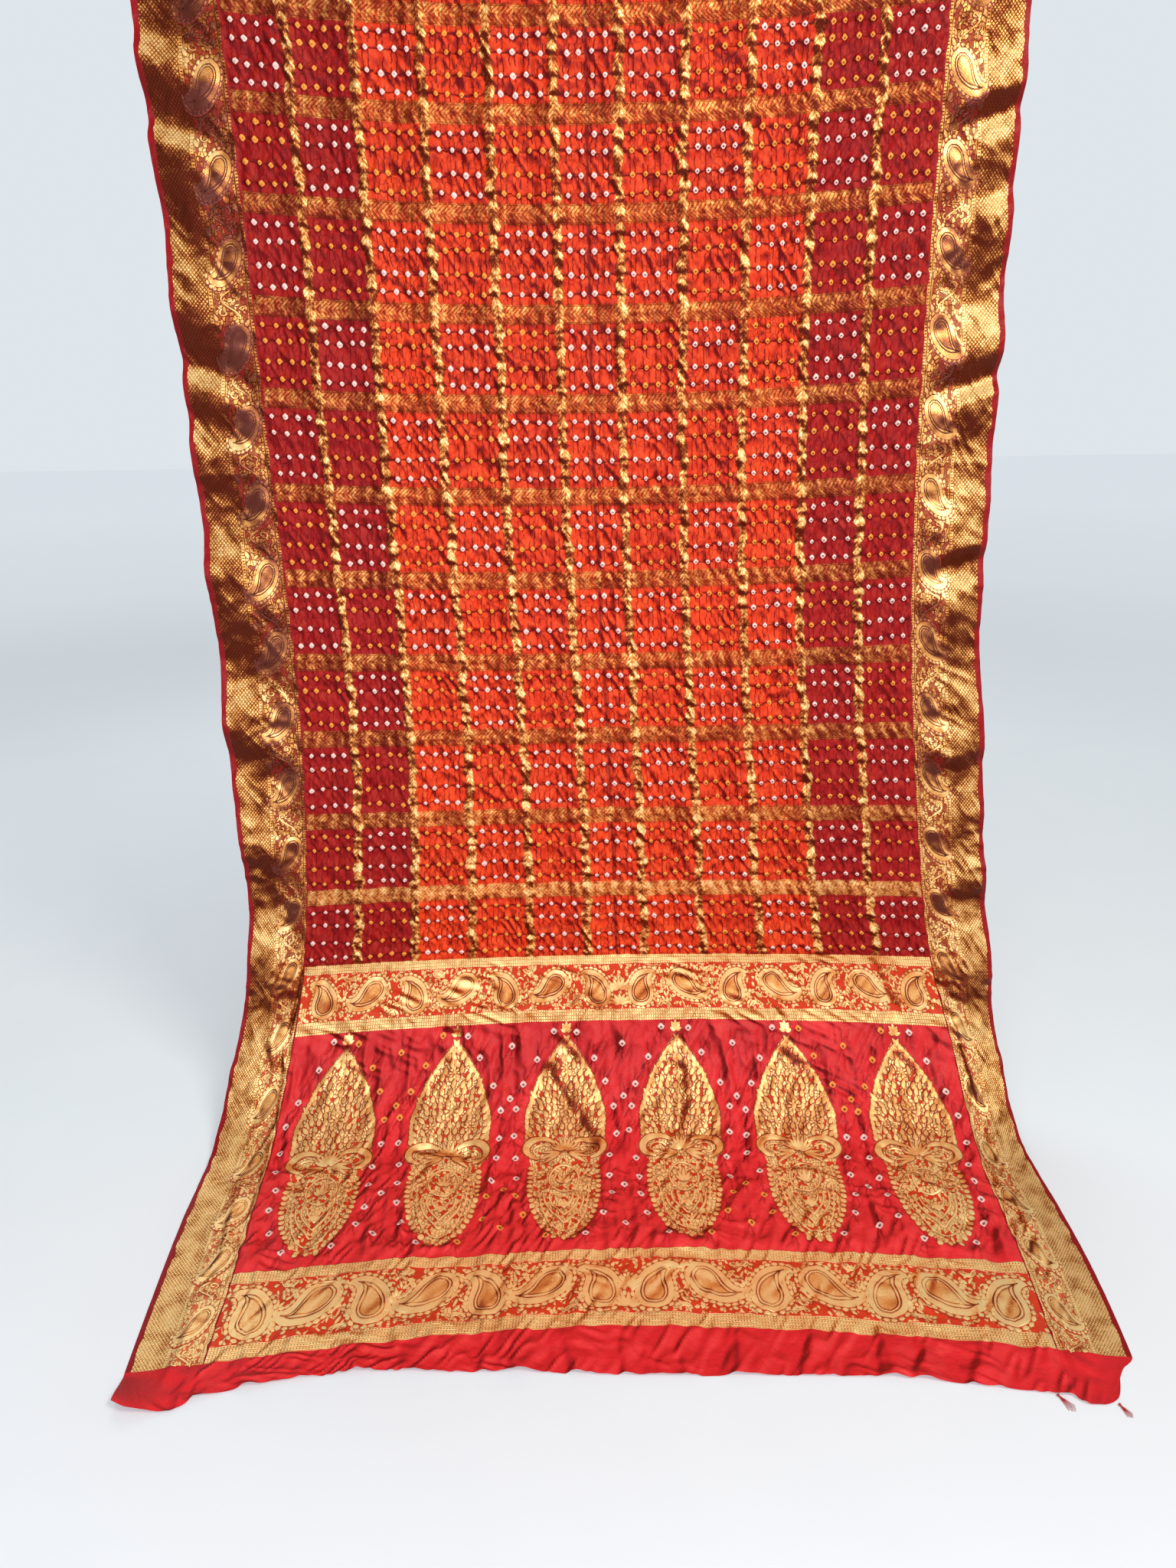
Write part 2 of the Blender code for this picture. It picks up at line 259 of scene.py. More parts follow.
def stripePlace(across, along):
    # how far a point lies to the side of its wandering stripe, in metres, and which stripe that is
    columns = across / cloth["checkPitch"] + 0.5
    stripe = np.clip(np.round(columns), -4, 5)
    wander = softNoise(stripe * 3.7 + 0.5, along / 0.021, 25)
    wander = wander + 0.5 * softNoise(stripe * 7.1, along / 0.009, 29)
    return (columns - stripe) * cloth["checkWidth"] + stripes["wander"] * wander, stripe


def stripeSwell(across, along):
    # a stripe swells at the rows of dots and narrows between them, none quite alike: 0 to 1
    _, _, _, v = checkPlace(across, along)
    _, stripe = stripePlace(across, along)
    phase = np.interp(v, (0,) + dots["downCheck"] + (1,), range(6))
    phase = phase + 0.36 * softNoise(stripe * 2.3 + 0.4, along / 0.045, 30)
    swell = 0.5 + 0.5 * np.cos(2 * math.pi * phase)
    return swell * (0.80 + 0.40 * softNoise(stripe * 5.3 + 9.5, along / 0.03, 26))


def bandSlant(across):
    # the pleats of the cross bands lean one way on the left and the other way, more, on the right
    return -0.15 + 0.55 * ease(-0.6, 0.7, across)


def tiedRelief(across, along, x):
    # peaks at the dots, creases between them, pleats down the checks, ridges on the stripes
    du, dv, column, row, i, j = nearestDot(across, along)
    near = np.hypot(du, dv)
    _, _, u, v = checkPlace(across, along)
    onBand = bell(np.abs(v - np.round(v)) * 0.111, bands["halfHeight"])
    inCheck = 1 - onBand
    peaks = dots["peak"] * bell(near, dots["reach"])
    rowCrease = -crinkle["crease"] * bell(dv - 0.0014, 0.0021) * (1 - bell(near, 0.0040))
    rowCrease = rowCrease * (np.abs(dv) < 0.5)
    warp = 0.0025 * softNoise(x / 0.018, along / 0.018, 21)
    pleats = crinkle["pleat"] * (ridged((x + warp) / crinkle["pleatPitch"], along / 0.024, 22) - 0.1)
    lean = 0.6
    slants = crinkle["slant"] * (ridged((x + lean * along) / 0.011, (along - lean * x) / 0.034, 23)
                                 + ridged((x - lean * along) / 0.011, (along + lean * x) / 0.034, 24) - 0.4)
    out = peaks + inCheck * (rowCrease + pleats + slants)

    # a stripe's ridge stands out where it swells
    fromStripe, stripe = stripePlace(across, along)
    swell = stripeSwell(across, along)
    ridge = stripes["ridge"] * bell(fromStripe, stripes["halfWidth"])
    twist = stripes["twist"] * softNoise(stripe * 4.1 + 3.5, along / 0.013, 35)
    twist = twist * fromStripe / stripes["halfWidth"]
    out = out + (ridge * (0.15 + swell) + twist * bell(fromStripe, 0.009)) * (1 - 0.65 * onBand)

    # the cross bands lie flatter, with slanted pleats that rise slowly and fall fast
    fromBand = (v - np.round(v)) * 0.111
    pleatPlace = x - bandSlant(across) * fromBand + 0.004 * softNoise(x / 0.05, row * 7.0, 27)
    pleatPlace = pleatPlace / bands["pleatPitch"]
    saw = pleatPlace - np.floor(pleatPlace)
    saw = np.where(saw < 0.72, saw / 0.72, (1 - saw) / 0.28)
    uneven = 0.7 + 0.5 * softNoise(x / 0.03, row * 3.0, 28)
    out = out + onBand * (bands["stand"] + bands["pleat"] * saw * uneven)
    edge = 1 - ease(0.97, 1.10, np.abs(across))
    return out * edge * (1 - ease(cloth["tiedEnd"] - 0.006, cloth["tiedEnd"] + 0.004, along))


def coneShape(height):
    # half width of a cone motif, from its foot (0) to its tip (1), as a share of its widest
    at = (0, .026, .076, .157, .25, .33, .40, .435, .45, .50, .53, .56, .634, .707, .785, .859, .90, .93,
          .94, .955, .975, 1)
    wide = (0, .27, .54, .74, .83, .83, .80, .86, .99, 1.0, .96, .95, .97, .86, .68, .41, .22, .05,
            .03, .13, .16, 0)
    return np.interp(height, at, wide)


def coneHeight(along):
    return (endParts["coneFoot"] - along) / (endParts["coneFoot"] - endParts["coneTip"])


def coneReach(across, along):
    # how far a point lies outside the nearest cone motif, in metres, less than 0 inside
    half = cloth["endHalfWidth"]
    pitch = 2 * half / endParts["cones"]
    x = across * half
    fromAxis = np.abs((x / pitch - np.floor(x / pitch) - 0.5) * pitch)
    return fromAxis - coneShape(coneHeight(along)) * endParts["coneHalfWidth"]


def nearestEndDot(across, along):
    # dots in a row down each side of a cone motif, and a few midway between two motifs
    half = cloth["endHalfWidth"]
    pitch = 2 * half / endParts["cones"]
    x = across * half
    cone = np.floor(x / pitch)
    axis = (cone + 0.5) * pitch
    side = np.where(x > axis, 1, -1)
    gap = np.round(x / pitch).astype(int)
    random = np.random.RandomState(endDots["seed"]).uniform(-1, 1, (2, 16, 2, endDots["rows"]))
    nearX, nearY, best = np.ones_like(x), np.ones_like(x), np.full_like(x, 9.0)
    for k in range(endDots["rows"]):
        rowAlong = endDots["start"] + k * endDots["pitch"]
        i, j = cone.astype(int) + 8, (side + 1) // 2
        y = rowAlong + 0.004 * random[0, i, j, k]
        aside = coneShape(coneHeight(y)) * endParts["coneHalfWidth"] + endDots["aside"]
        aside = np.minimum(aside + 0.003 * random[1, i, j, k], pitch / 2 - 0.006)
        spots = [(axis + side * aside, y)]
        if k in (1, 3, 7, 9):
            spots.append((gap * pitch + 0.002 * math.sin(9.0 * k), rowAlong - 0.018 + 0 * x))
        for spotX, spotY in spots:
            away = np.hypot(x - spotX, along - spotY) + np.where(np.abs(spotX) < half - 0.008, 0, 9.0)
            nearer = away < best
            best = np.where(nearer, away, best)
            nearX, nearY = np.where(nearer, x - spotX, nearX), np.where(nearer, along - spotY, nearY)
    gap = np.abs(gap)
    yellow = ((gap == 2) & (along < 1.600)) | ((gap == 1) & (along > 1.715))
    return nearX, nearY, yellow


def fromSegment(x, y, x0, y0, x1, y1):
    # distance of each point from the straight piece between two places
    dx, dy = x1 - x0, y1 - y0
    s = np.clip(((x - x0) * dx + (y - y0) * dy) / (dx * dx + dy * dy), 0, 1)
    return np.hypot(x - x0 - s * dx, y - y0 - s * dy)


def endRelief(across, along, x):
    # long soft crinkles down the end, small peaks at its dots, creases across its motifs and its
    # plain strip
    du, dv, _ = nearestEndDot(across, along)
    peaks = endDots["peak"] * bell(np.hypot(du, dv), 0.0042)
    bent = x + 0.005 * softNoise(x / 0.05, along / 0.05, 31)
    long = ridged(bent / 0.021, along / 0.085, 32)
    fine = ridged(bent / 0.0095, along / 0.035, 33)
    swell = softNoise(x / 0.085, along / 0.11, 34)
    low, high = endParts["ground"]
    onGround = ease(low - 0.01, low + 0.02, along) * (1 - ease(high - 0.02, high + 0.01, along))
    outside = ease(-0.004, 0.006, coneReach(across, along))
    bare = onGround * outside
    out = peaks + crinkle["end"] * ((0.55 + 0.8 * bare) * long + 0.5 * bare * fine + 1.1 * swell)
    # short wrinkles that cross everything, here and there
    patch = ease(-0.1, 0.6, softNoise(x / 0.06, along / 0.05, 38))
    slant = ridged((along - 0.45 * x) / 0.013, (x + 0.3 * along) / 0.042, 39)
    steep = ridged((x + 0.5 * along) / 0.012, (along - 0.4 * x) / 0.048, 40)
    out = out + crinkle["end"] * (0.75 * patch * slant + 0.70 * (1 - patch) * steep)
    metres = across * cloth["endHalfWidth"]
    for x0, y0, x1, y1, width, depth in handFolds:
        ragged = 1 + 0.3 * softNoise(x / 0.012, along / 0.012, 36)
        reach = fromSegment(metres, along, x0, y0, x1, y1) * ragged
        # on the floor there is no room for a trough, so the crease stands up
        out = out + (depth if y0 < 1.68 else -depth) * bell(reach, width)
    down = along - cloth["plainEnd"][0]
    onPlain = ease(-0.012, 0.030, down)
    for place, lean, depth, width in zip(*[plainFolds[key] for key in ("x", "lean", "depth", "width")]):
        # steep on the left and gentle on the right
        away = (x - place - lean * (down - 0.035) + 0.004 * softNoise(x / 0.03, along / 0.02, 37)) / width
        out = out + plainFolds["height"] * depth * onPlain * bell(np.where(away < 0, away, away / 3.2), 1.0)
    # on the floor it all lies a little higher, so that hollows can show
    out = out + 0.0022 * ease(1.60, 1.72, along) * (1 - ease(1.98, 2.02, along))
    onEnd = ease(cloth["tiedEnd"] - 0.004, cloth["tiedEnd"] + 0.02, along)
    return out * onEnd * (1 - ease(1.2, 1.7, np.abs(across)))


def borderRelief(across, along, x, path):
    # short wrinkles that run in from the edge
    inward = (2 - np.abs(across)) * cloth["borderWidth"]
    lean = path - 0.12 * inward + 0.010 * softNoise(inward / 0.04, path / 0.07, 44)
    rise = path + 0.5 * inward
    short = ridged(inward / 0.075 + 3, lean / 0.030, 41) + 0.5 * ridged(inward / 0.05 + 7, rise / 0.017, 42)
    fold = softNoise(inward / 0.045 + 5, lean / 0.038, 43)
    fine = ridged((inward + 0.5 * path) / 0.012, (path - 0.4 * inward) / 0.030, 45)
    fine = fine + ridged((inward - 0.7 * path) / 0.014, (path + 0.5 * inward) / 0.036, 46)
    weight = ease(1.02, 1.25, np.abs(across)) * (1 - 0.80 * ease(1.55, 1.80, along))
    return crinkle["border"] * (0.65 * (short - 0.6) + 1.5 * fold + 0.34 * fine) * weight


def shapeCloth():
    # the whole cloth as one grid of points with their normals, the painted light and shade (how far each
    # point turns towards the light) and the painted brightness of its gold
    fieldCells, borderCells = round(cloth["fieldCells"] * fine), round(cloth["borderCells"] * fine)
    tiedRows, endRows = round(cloth["tiedRows"] * fine), round(cloth["endRows"] * fine)
    across = np.concatenate([np.linspace(-2, -1, borderCells + 1)[:-1],
                             np.linspace(-1, 1, fieldCells + 1)[:-1],
                             np.linspace(1, 2, borderCells + 1)])
    along = np.concatenate([np.linspace(0, cloth["tiedEnd"], tiedRows + 1)[:-1],
                            np.linspace(cloth["tiedEnd"], cloth["plainEnd"][1], endRows + 1)])
    a, t = np.meshgrid(across, along)
    path, x = pathDown(a, t), placeX(a, t)
    turn = np.clip((path - fallEnd) / cloth["sweepRadius"], 0, math.pi / 2)
    beyond = np.maximum(path - sweepEnd, 0)
    depth = -cloth["sweepRadius"] * (1 - np.cos(turn)) - beyond
    height = -np.minimum(path, fallEnd) - (cloth["sweepRadius"] - cloth["thickness"] / 2) * np.sin(turn)
    out = bigRelief(a, t, path) + tiedRelief(a, t, x) + endRelief(a, t, x) + borderRelief(a, t, x, path)
    onFloor = ease(1.2, math.pi / 2, turn)
    out = np.where(onFloor > 0, np.maximum(out, -0.0003 - (1 - onFloor) * 0.01), out)
    points = np.stack([x, depth - out * np.cos(turn), height + out * np.sin(turn)], axis=-1)
    normals = np.cross(np.gradient(points, axis=0), np.gradient(points, axis=1))
    normals /= np.linalg.norm(normals, axis=-1, keepdims=True)
    plain = np.stack([np.zeros_like(turn), -np.cos(turn), np.sin(turn)], axis=-1)
    # painted light and shade: how much more each point faces the light than the smooth cloth would
    towards = light / np.linalg.norm(light)
    paintedShading = normals @ towards - plain @ towards
    onLeft = np.interp(t, goldLevels["along"], goldLevels["left"])
    onRight = np.interp(t, goldLevels["along"], goldLevels["right"])
    onEnd = np.interp(t, goldLevels["endAlong"], goldLevels["end"])
    goldLevel = np.where(a < -1, onLeft, np.where(a > 1, onRight, onEnd))
    print(f"cloth: {points.shape[0]} x {points.shape[1]} points")
    return {
        "across": across, "along": along, "points": points, "normals": normals, "paintedShading": paintedShading,
        "goldLevel": goldLevel, "fieldCells": fieldCells, "borderCells": borderCells, "tiedRows": tiedRows,
    }


# Meshes


def linkObject(name, mesh, material):
    mesh.materials.append(material)
    made = bpy.data.objects.new(name, mesh)
    bpy.context.scene.collection.objects.link(made)
    return made


def fillMesh(name, points, quads, normals=None):
    # puts arrays of points and four-sided faces into a new smooth mesh
    mesh = bpy.data.meshes.new(name)
    mesh.vertices.add(len(points))
    mesh.vertices.foreach_set("co", points.astype(np.float32).ravel())
    mesh.loops.add(quads.size)
    mesh.loops.foreach_set("vertex_index", quads.astype(np.int32).ravel())
    mesh.polygons.add(len(quads))
    mesh.polygons.foreach_set("loop_start", np.arange(0, quads.size, 4, dtype=np.int32))
    mesh.polygons.foreach_set("use_smooth", np.ones(len(quads), bool))
    mesh.update(calc_edges=True)
    if normals is not None:
        mesh.normals_split_custom_set_from_vertices(normals.tolist())
    return mesh


def addMap(mesh, name, u, v):
    # a UV map from one pair of numbers for each face corner
    layer = mesh.uv_layers.new(name=name)
    layer.data.foreach_set("uv", np.stack([u, v], axis=-1).astype(np.float32).ravel())


def addNumber(mesh, name, values, domain="POINT"):
    layer = mesh.attributes.new(name, "FLOAT", domain)
    layer.data.foreach_set("value", np.asarray(values, np.float32).ravel())


def slicePiece(name, grid, rows, columns, material):
    # the part of the whole grid between two rows and two columns, as a mesh of its own
    rowCount, columnCount = rows[1] - rows[0] + 1, columns[1] - columns[0] + 1
    box = np.s_[rows[0]:rows[1] + 1, columns[0]:columns[1] + 1]
    index = np.arange(rowCount * columnCount).reshape(rowCount, columnCount)
    quads = np.stack([index[:-1, :-1], index[1:, :-1], index[1:, 1:], index[:-1, 1:]], axis=-1)
    quads = quads.reshape(-1, 4)
    points, normals = grid["points"][box].reshape(-1, 3), grid["normals"][box].reshape(-1, 3)
    mesh = fillMesh(name, points, quads, normals)
    a, t = np.meshgrid(grid["across"][columns[0]:columns[1] + 1], grid["along"][rows[0]:rows[1] + 1])
    corners = quads.ravel()
    a, t = a.ravel(), t.ravel()
    piece = {
        "mesh": mesh, "corners": corners, "across": a[corners], "along": t[corners],
        "faceAcross": np.repeat(a[quads].mean(axis=1), 4),
        "faceAlong": np.repeat(t[quads].mean(axis=1), 4),
    }
    addNumber(mesh, "paintedShading", grid["paintedShading"][box])
    addNumber(mesh, "goldLevel", grid["goldLevel"][box])
    return piece, linkObject(name, mesh, material)


def dressField(piece):
    # maps for the weave, the nearest stripe, band and dot, and each check's own tints
    mesh, a, t = piece["mesh"], piece["across"], piece["along"]
    fa, ft = piece["faceAcross"], piece["faceAlong"]
    x = a * cloth["checkWidth"] / cloth["checkPitch"]
    addMap(mesh, "weave", x, t)
    columns = a / cloth["checkPitch"] + 0.5
    _, stripe = stripePlace(fa, ft)
    wander = stripePlace(a, t)[0] - (columns - stripePlace(a, t)[1]) * cloth["checkWidth"]
    addMap(mesh, "stripe", (columns - stripe) * cloth["checkWidth"] + wander, t)
    swell = np.empty(len(mesh.vertices))
    swell[piece["corners"]] = stripeSwell(a, t)
    addNumber(mesh, "swell", swell)
    faceRow = np.round(np.interp(ft, bandPlaces, np.arange(len(bandPlaces)))).astype(int)
    fromBand = t - bandPlaces[faceRow]
    addMap(mesh, "band", x - bandSlant(a) * fromBand, fromBand)
    fdu, fdv, column, row, i, j = nearestDot(fa, ft)
    dotX = fa * cloth["checkWidth"] / cloth["checkPitch"] - fdu
    dotY = ft - fdv
    addMap(mesh, "dot", x - dotX, t - dotY)
    fromMiddle = np.abs(column)
    white = (fromMiddle == 0) | ((row + fromMiddle) % 2 == 0)
    random = np.random.RandomState(5).uniform(0, 1, (32, 16))
    sizes = np.random.RandomState(6).uniform(0.85, 1.18, (32, 16, 4, 4))
    face = np.s_[::4]
    addNumber(mesh, "yellow", np.where(white, 0, 1)[face], "FACE")
    addNumber(mesh, "crimson", np.clip((fromMiddle >= 4) + 0.0, 0, 1)[face], "FACE")
    addNumber(mesh, "tint", random[column + 8, row][face], "FACE")
    addNumber(mesh, "dotSize", sizes[column + 8, row, i, j][face], "FACE")


def dressBorder(piece):
    mesh = piece["mesh"]
    addMap(mesh, "weave", (2 - np.abs(piece["across"])) * cloth["borderWidth"], piece["along"])


def dressEnd(piece):
    mesh, a, t = piece["mesh"], piece["across"], piece["along"]
    x = a * cloth["endHalfWidth"]
    addMap(mesh, "weave", x, t)
    fdu, fdv, yellow = nearestEndDot(piece["faceAcross"], piece["faceAlong"])
    addMap(mesh, "dot", x - (piece["faceAcross"] * cloth["endHalfWidth"] - fdu),
           t - (piece["faceAlong"] - fdv))
    addNumber(mesh, "yellow", yellow[::4], "FACE")
    rows = len(mesh.vertices)
    reach = np.empty(rows)
    reach[piece["corners"]] = coneReach(a, t)
    addNumber(mesh, "coneReach", reach * 1000)


# Materials


def hexColour(code):
    # sRGB hex to linear: c / 12.92 near black, and ((c + 0.055) / 1.055) to the power 2.4 above
    parts = [int(code[k:k + 2], 16) / 255 for k in (1, 3, 5)]
    return tuple(c / 12.92 if c < 0.04045 else ((c + 0.055) / 1.055) ** 2.4 for c in parts) + (1.0,)


def addNode(tree, kind, inputs=None, output=0, **settings):
    # adds a node, sets its settings, links or sets its inputs, and gives the output to go on from
    made = tree.nodes.new("ShaderNode" + kind)
    for key, value in settings.items():
        setattr(made, key, value)
    for key, value in (inputs or {}).items():
        if isinstance(value, bpy.types.NodeSocket):
            tree.links.new(value, made.inputs[key])
        else:
            made.inputs[key].default_value = value
    return made.outputs[output]


def startMaterial(name):
    material = bpy.data.materials.new(name)
    material.use_nodes = True
    tree = material.node_tree
    return material, tree, tree.nodes["Principled BSDF"]


# the silk's dye colours, with the lighter and darker reds that are painted highlight and painted shade
silk = {
    "orange": "#DC3812", "highlightOrange": "#F05C28", "crimson": "#941013", "shadeRed": "#680809", "endRed": "#D62C30",
    "plainRed": "#CE2429", "endLight": "#F25450", "gapRed": "#C83A1E", "shadedRed": "#862012",
    "white": "#F0CCC2", "yellow": "#EC9640", "tie": "#6B1A22", "selvedge": "#8C1217",
}
# gold thread colours along the painted shading ramp: dark is the painted shade, bright the painted
# highlight
zari = {
    "dark": "#5A1E0A", "brown": "#9C5628", "redBrown": "#A8401C", "gold": "#E6A255", "bright": "#FBD894",
}


def zariColour(tree, paintedShading, shift, brown="brown", gain=1.25):
    # gold thread with painted shade and highlight: dark brown where it turns down, away from the light,
    # pale gold where it turns up to the light
    level = addNode(tree, "Math", {0: paintedShading, 1: gain, 2: shift}, operation="MULTIPLY_ADD")
    ramp = addNode(tree, "ValToRGB", {"Fac": level})
    colours = ramp.node.color_ramp
    colours.elements[0].position, colours.elements[0].color = 0.10, hexColour(zari["dark"])
    colours.elements[1].position, colours.elements[1].color = 0.88, hexColour(zari["bright"])
    for place, code in ((0.36, zari[brown]), (0.62, zari["gold"])):
        colours.elements.new(place).color = hexColour(code)
    return ramp


def addTiedDots(tree, ground, dot, shaken, size, pale, markShare):
    # a pale ring about 7 mm across, more diamond than round, with the dark mark of the tie in it
    place = addNode(tree, "VectorMath", {0: shaken, 1: (0.0018, 0.0018, 0.0), 2: dot},
                    operation="MULTIPLY_ADD")
    place = addNode(tree, "VectorMath", {0: place, "Scale": size}, operation="SCALE")
    length = addNode(tree, "VectorMath", {0: place}, "Value", operation="LENGTH")
    folded = addNode(tree, "VectorMath", {0: place}, operation="ABSOLUTE")
    corner = addNode(tree, "VectorMath", {0: folded, 1: (0.95, 0.80, 0.0)}, "Value",
                     operation="DOT_PRODUCT")
    radius = addNode(tree, "Math", {0: length, 1: corner}, operation="ADD")
    ring = addNode(tree, "MapRange", {"Value": radius, 1: 0.0070, 2: 0.0054})
    low = addNode(tree, "VectorMath", {0: place, 1: (0.0, 0.0007, 0.0)}, operation="SUBTRACT")
    low = addNode(tree, "VectorMath", {0: low}, "Value", operation="LENGTH")
    mark = addNode(tree, "MapRange", {"Value": low, 1: 0.0017, 2: 0.0008})
    mark = addNode(tree, "Math", {0: mark, 1: markShare}, operation="MULTIPLY")
    colour = addNode(tree, "Mix", {0: ring, 6: ground, 7: pale}, 2, data_type="RGBA")
    colour = addNode(tree, "Mix", {0: mark, 6: colour, 7: hexColour(silk["tie"])}, 2, data_type="RGBA")
    return colour, radius


def makeField():
    # tie-dyed silk: crushed by its ties, with less painted highlight in the crimson checks, and flat gold
    # brocade stripes and bands
    material, tree, shader = startMaterial("tieDyedSilk")
    weave = addNode(tree, "UVMap", uv_map="weave")
    stripe = addNode(tree, "SeparateXYZ", {0: addNode(tree, "UVMap", uv_map="stripe")}).node
    band = addNode(tree, "SeparateXYZ", {0: addNode(tree, "UVMap", uv_map="band")}).node
    dot = addNode(tree, "UVMap", uv_map="dot")
    paintedShading = addNode(tree, "Attribute", output="Fac", attribute_name="paintedShading")
    tint = addNode(tree, "Attribute", output="Fac", attribute_name="tint")
    crimson = addNode(tree, "Attribute", output="Fac", attribute_name="crimson")
    yellow = addNode(tree, "Attribute", output="Fac", attribute_name="yellow")
    dotSize = addNode(tree, "Attribute", output="Fac", attribute_name="dotSize")
    cloudy = addNode(tree, "TexNoise", {"Vector": weave, "Scale": 260.0, "Detail": 3.0})
    broad = addNode(tree, "TexNoise", {"Vector": weave, "Scale": 80.0, "Detail": 2.0})
    patchy = addNode(tree, "TexNoise", {"Vector": weave, "Scale": 18.0, "Detail": 2.0})
    shaken = addNode(tree, "VectorMath", {0: cloudy.node.outputs[1], 1: (0.5, 0.5, 0.5)},
                     operation="SUBTRACT")
    swayed = addNode(tree, "VectorMath", {0: broad.node.outputs[1], 1: (0.5, 0.5, 0.5)},
                     operation="SUBTRACT")

    # creases: along each row of dots, in pairs below each dot, and cracks between flat facets 9 mm wide
    pulled = addNode(tree, "VectorMath", {0: swayed, 1: (0.0070, 0.0075, 0.0), 2: dot},
                     operation="MULTIPLY_ADD")
    offset = addNode(tree, "SeparateXYZ", {0: pulled}).node
    fromRow = addNode(tree, "Math", {0: offset.outputs[1], 1: 0.0006}, operation="SUBTRACT")
    fromRow = addNode(tree, "Math", {0: fromRow}, operation="ABSOLUTE")
    rowCrease = addNode(tree, "MapRange", {"Value": fromRow, 1: 0.0013, 2: 0.0004})
    side = addNode(tree, "Math", {0: offset.outputs[0]}, operation="ABSOLUTE")
    side = addNode(tree, "Math", {0: side, 1: 0.0031}, operation="SUBTRACT")
    side = addNode(tree, "Math", {0: side}, operation="ABSOLUTE")
    pleatCrease = addNode(tree, "MapRange", {"Value": side, 1: 0.0010, 2: 0.0003})
    here = addNode(tree, "VectorMath", {0: swayed, 1: (0.006, 0.006, 0.0), 2: weave},
                   operation="MULTIPLY_ADD")
    here = addNode(tree, "VectorMath", {0: here, 1: (1.0, 0.62, 1.0)}, operation="MULTIPLY")
    crack = addNode(tree, "TexVoronoi", {"Vector": here, "Scale": 125.0}, feature="DISTANCE_TO_EDGE")
    facet = addNode(tree, "TexVoronoi", {"Vector": here, "Scale": 125.0})
    crack = addNode(tree, "MapRange", {"Value": crack, 1: 0.085, 2: 0.02})
    rowShare = addNode(tree, "MapRange", {"Value": patchy, 1: 0.36, 2: 0.50, 3: 0.45, 4: 1.0})
    pleatShare = addNode(tree, "MapRange", {"Value": broad, 1: 0.40, 2: 0.52})
    crackShare = addNode(tree, "MapRange", {"Value": patchy, 1: 0.62, 2: 0.44, 3: 0.10, 4: 0.55})
    rowCrease = addNode(tree, "Math", {0: rowCrease, 1: rowShare}, operation="MULTIPLY")
    pleatCrease = addNode(tree, "Math", {0: pleatCrease, 1: pleatShare}, operation="MULTIPLY")
    crack = addNode(tree, "Math", {0: crack, 1: crackShare}, operation="MULTIPLY")
    creases = addNode(tree, "Math", {0: rowCrease, 1: pleatCrease}, operation="MAXIMUM")
    creases = addNode(tree, "Math", {0: creases, 1: crack}, operation="MAXIMUM")
    # the fold line down the middle of the cloth
    sway = addNode(tree, "SeparateXYZ", {0: here}).node
    fromMiddle = addNode(tree, "Math", {0: sway.outputs[0]}, operation="ABSOLUTE")
    foldLine = addNode(tree, "MapRange", {"Value": fromMiddle, 1: 0.0034, 2: 0.0008})
    creases = addNode(tree, "Math", {0: creases, 1: foldLine}, operation="MAXIMUM")

    # the dye: orange in the middle checks, crimson in the outer two, each check a little its own;
    # over it painted light and shade, darker towards the top
    across = addNode(tree, "SeparateXYZ", {0: weave}).node
    shade = addNode(tree, "Math", {0: patchy, 1: 0.5, 2: -0.16}, operation="MULTIPLY_ADD")
    shade = addNode(tree, "Math", {0: tint, 1: 0.26, 2: shade}, operation="MULTIPLY_ADD")
    shade = addNode(tree, "Math", {0: shade, 1: crimson}, operation="MAXIMUM", use_clamp=True)
    ground = addNode(tree, "Mix", {0: shade, 6: hexColour(silk["orange"]), 7: hexColour(silk["crimson"])},
                     2, data_type="RGBA")
    # painted highlight: each crumpled facet a little lighter or darker, and lighter where the silk faces
    # the light, less so in the crimson checks
    flat = addNode(tree, "SeparateColor", {0: facet.node.outputs[1]}).node
    lit = addNode(tree, "Math", {0: flat.outputs[0], 1: 0.34, 2: -0.06}, operation="MULTIPLY_ADD")
    lit = addNode(tree, "Math", {0: paintedShading, 1: 0.9, 2: lit}, operation="MULTIPLY_ADD", use_clamp=True)
    answer = addNode(tree, "MapRange", {"Value": crimson, 1: 0.0, 2: 1.0, 3: 1.0, 4: 0.22})
    lit = addNode(tree, "Math", {0: lit, 1: answer}, operation="MULTIPLY")
    ground = addNode(tree, "Mix", {0: lit, 6: ground, 7: hexColour(silk["highlightOrange"])}, 2, data_type="RGBA")
    # painted shade: darker where the silk turns away from the light, towards the top, and in its creases
    # and middle fold line
    dim = addNode(tree, "MapRange", {"Value": paintedShading, 1: 0.02, 2: -0.40, 3: 0.0, 4: 0.90})
    high = addNode(tree, "MapRange", {"Value": across.outputs[1], 1: 0.0, 2: 0.95, 3: 0.20, 4: 0.0})
    dim = addNode(tree, "Math", {0: dim, 1: high}, operation="ADD")
    dim = addNode(tree, "Math", {0: creases, 1: 0.80, 2: dim}, operation="MULTIPLY_ADD", use_clamp=True)
    ground = addNode(tree, "Mix", {0: dim, 6: ground, 7: hexColour(silk["shadeRed"])}, 2, data_type="RGBA")
    markShare = addNode(tree, "MapRange", {"Value": across.outputs[0], 1: -0.08, 2: 0.12, 3: 0.35, 4: 0.9})
    pale = addNode(tree, "Mix", {0: yellow, 6: hexColour(silk["white"]), 7: hexColour(silk["yellow"])}, 2,
                   data_type="RGBA")
    silkColour, radius = addTiedDots(tree, ground, dot, shaken, dotSize, pale, markShare)

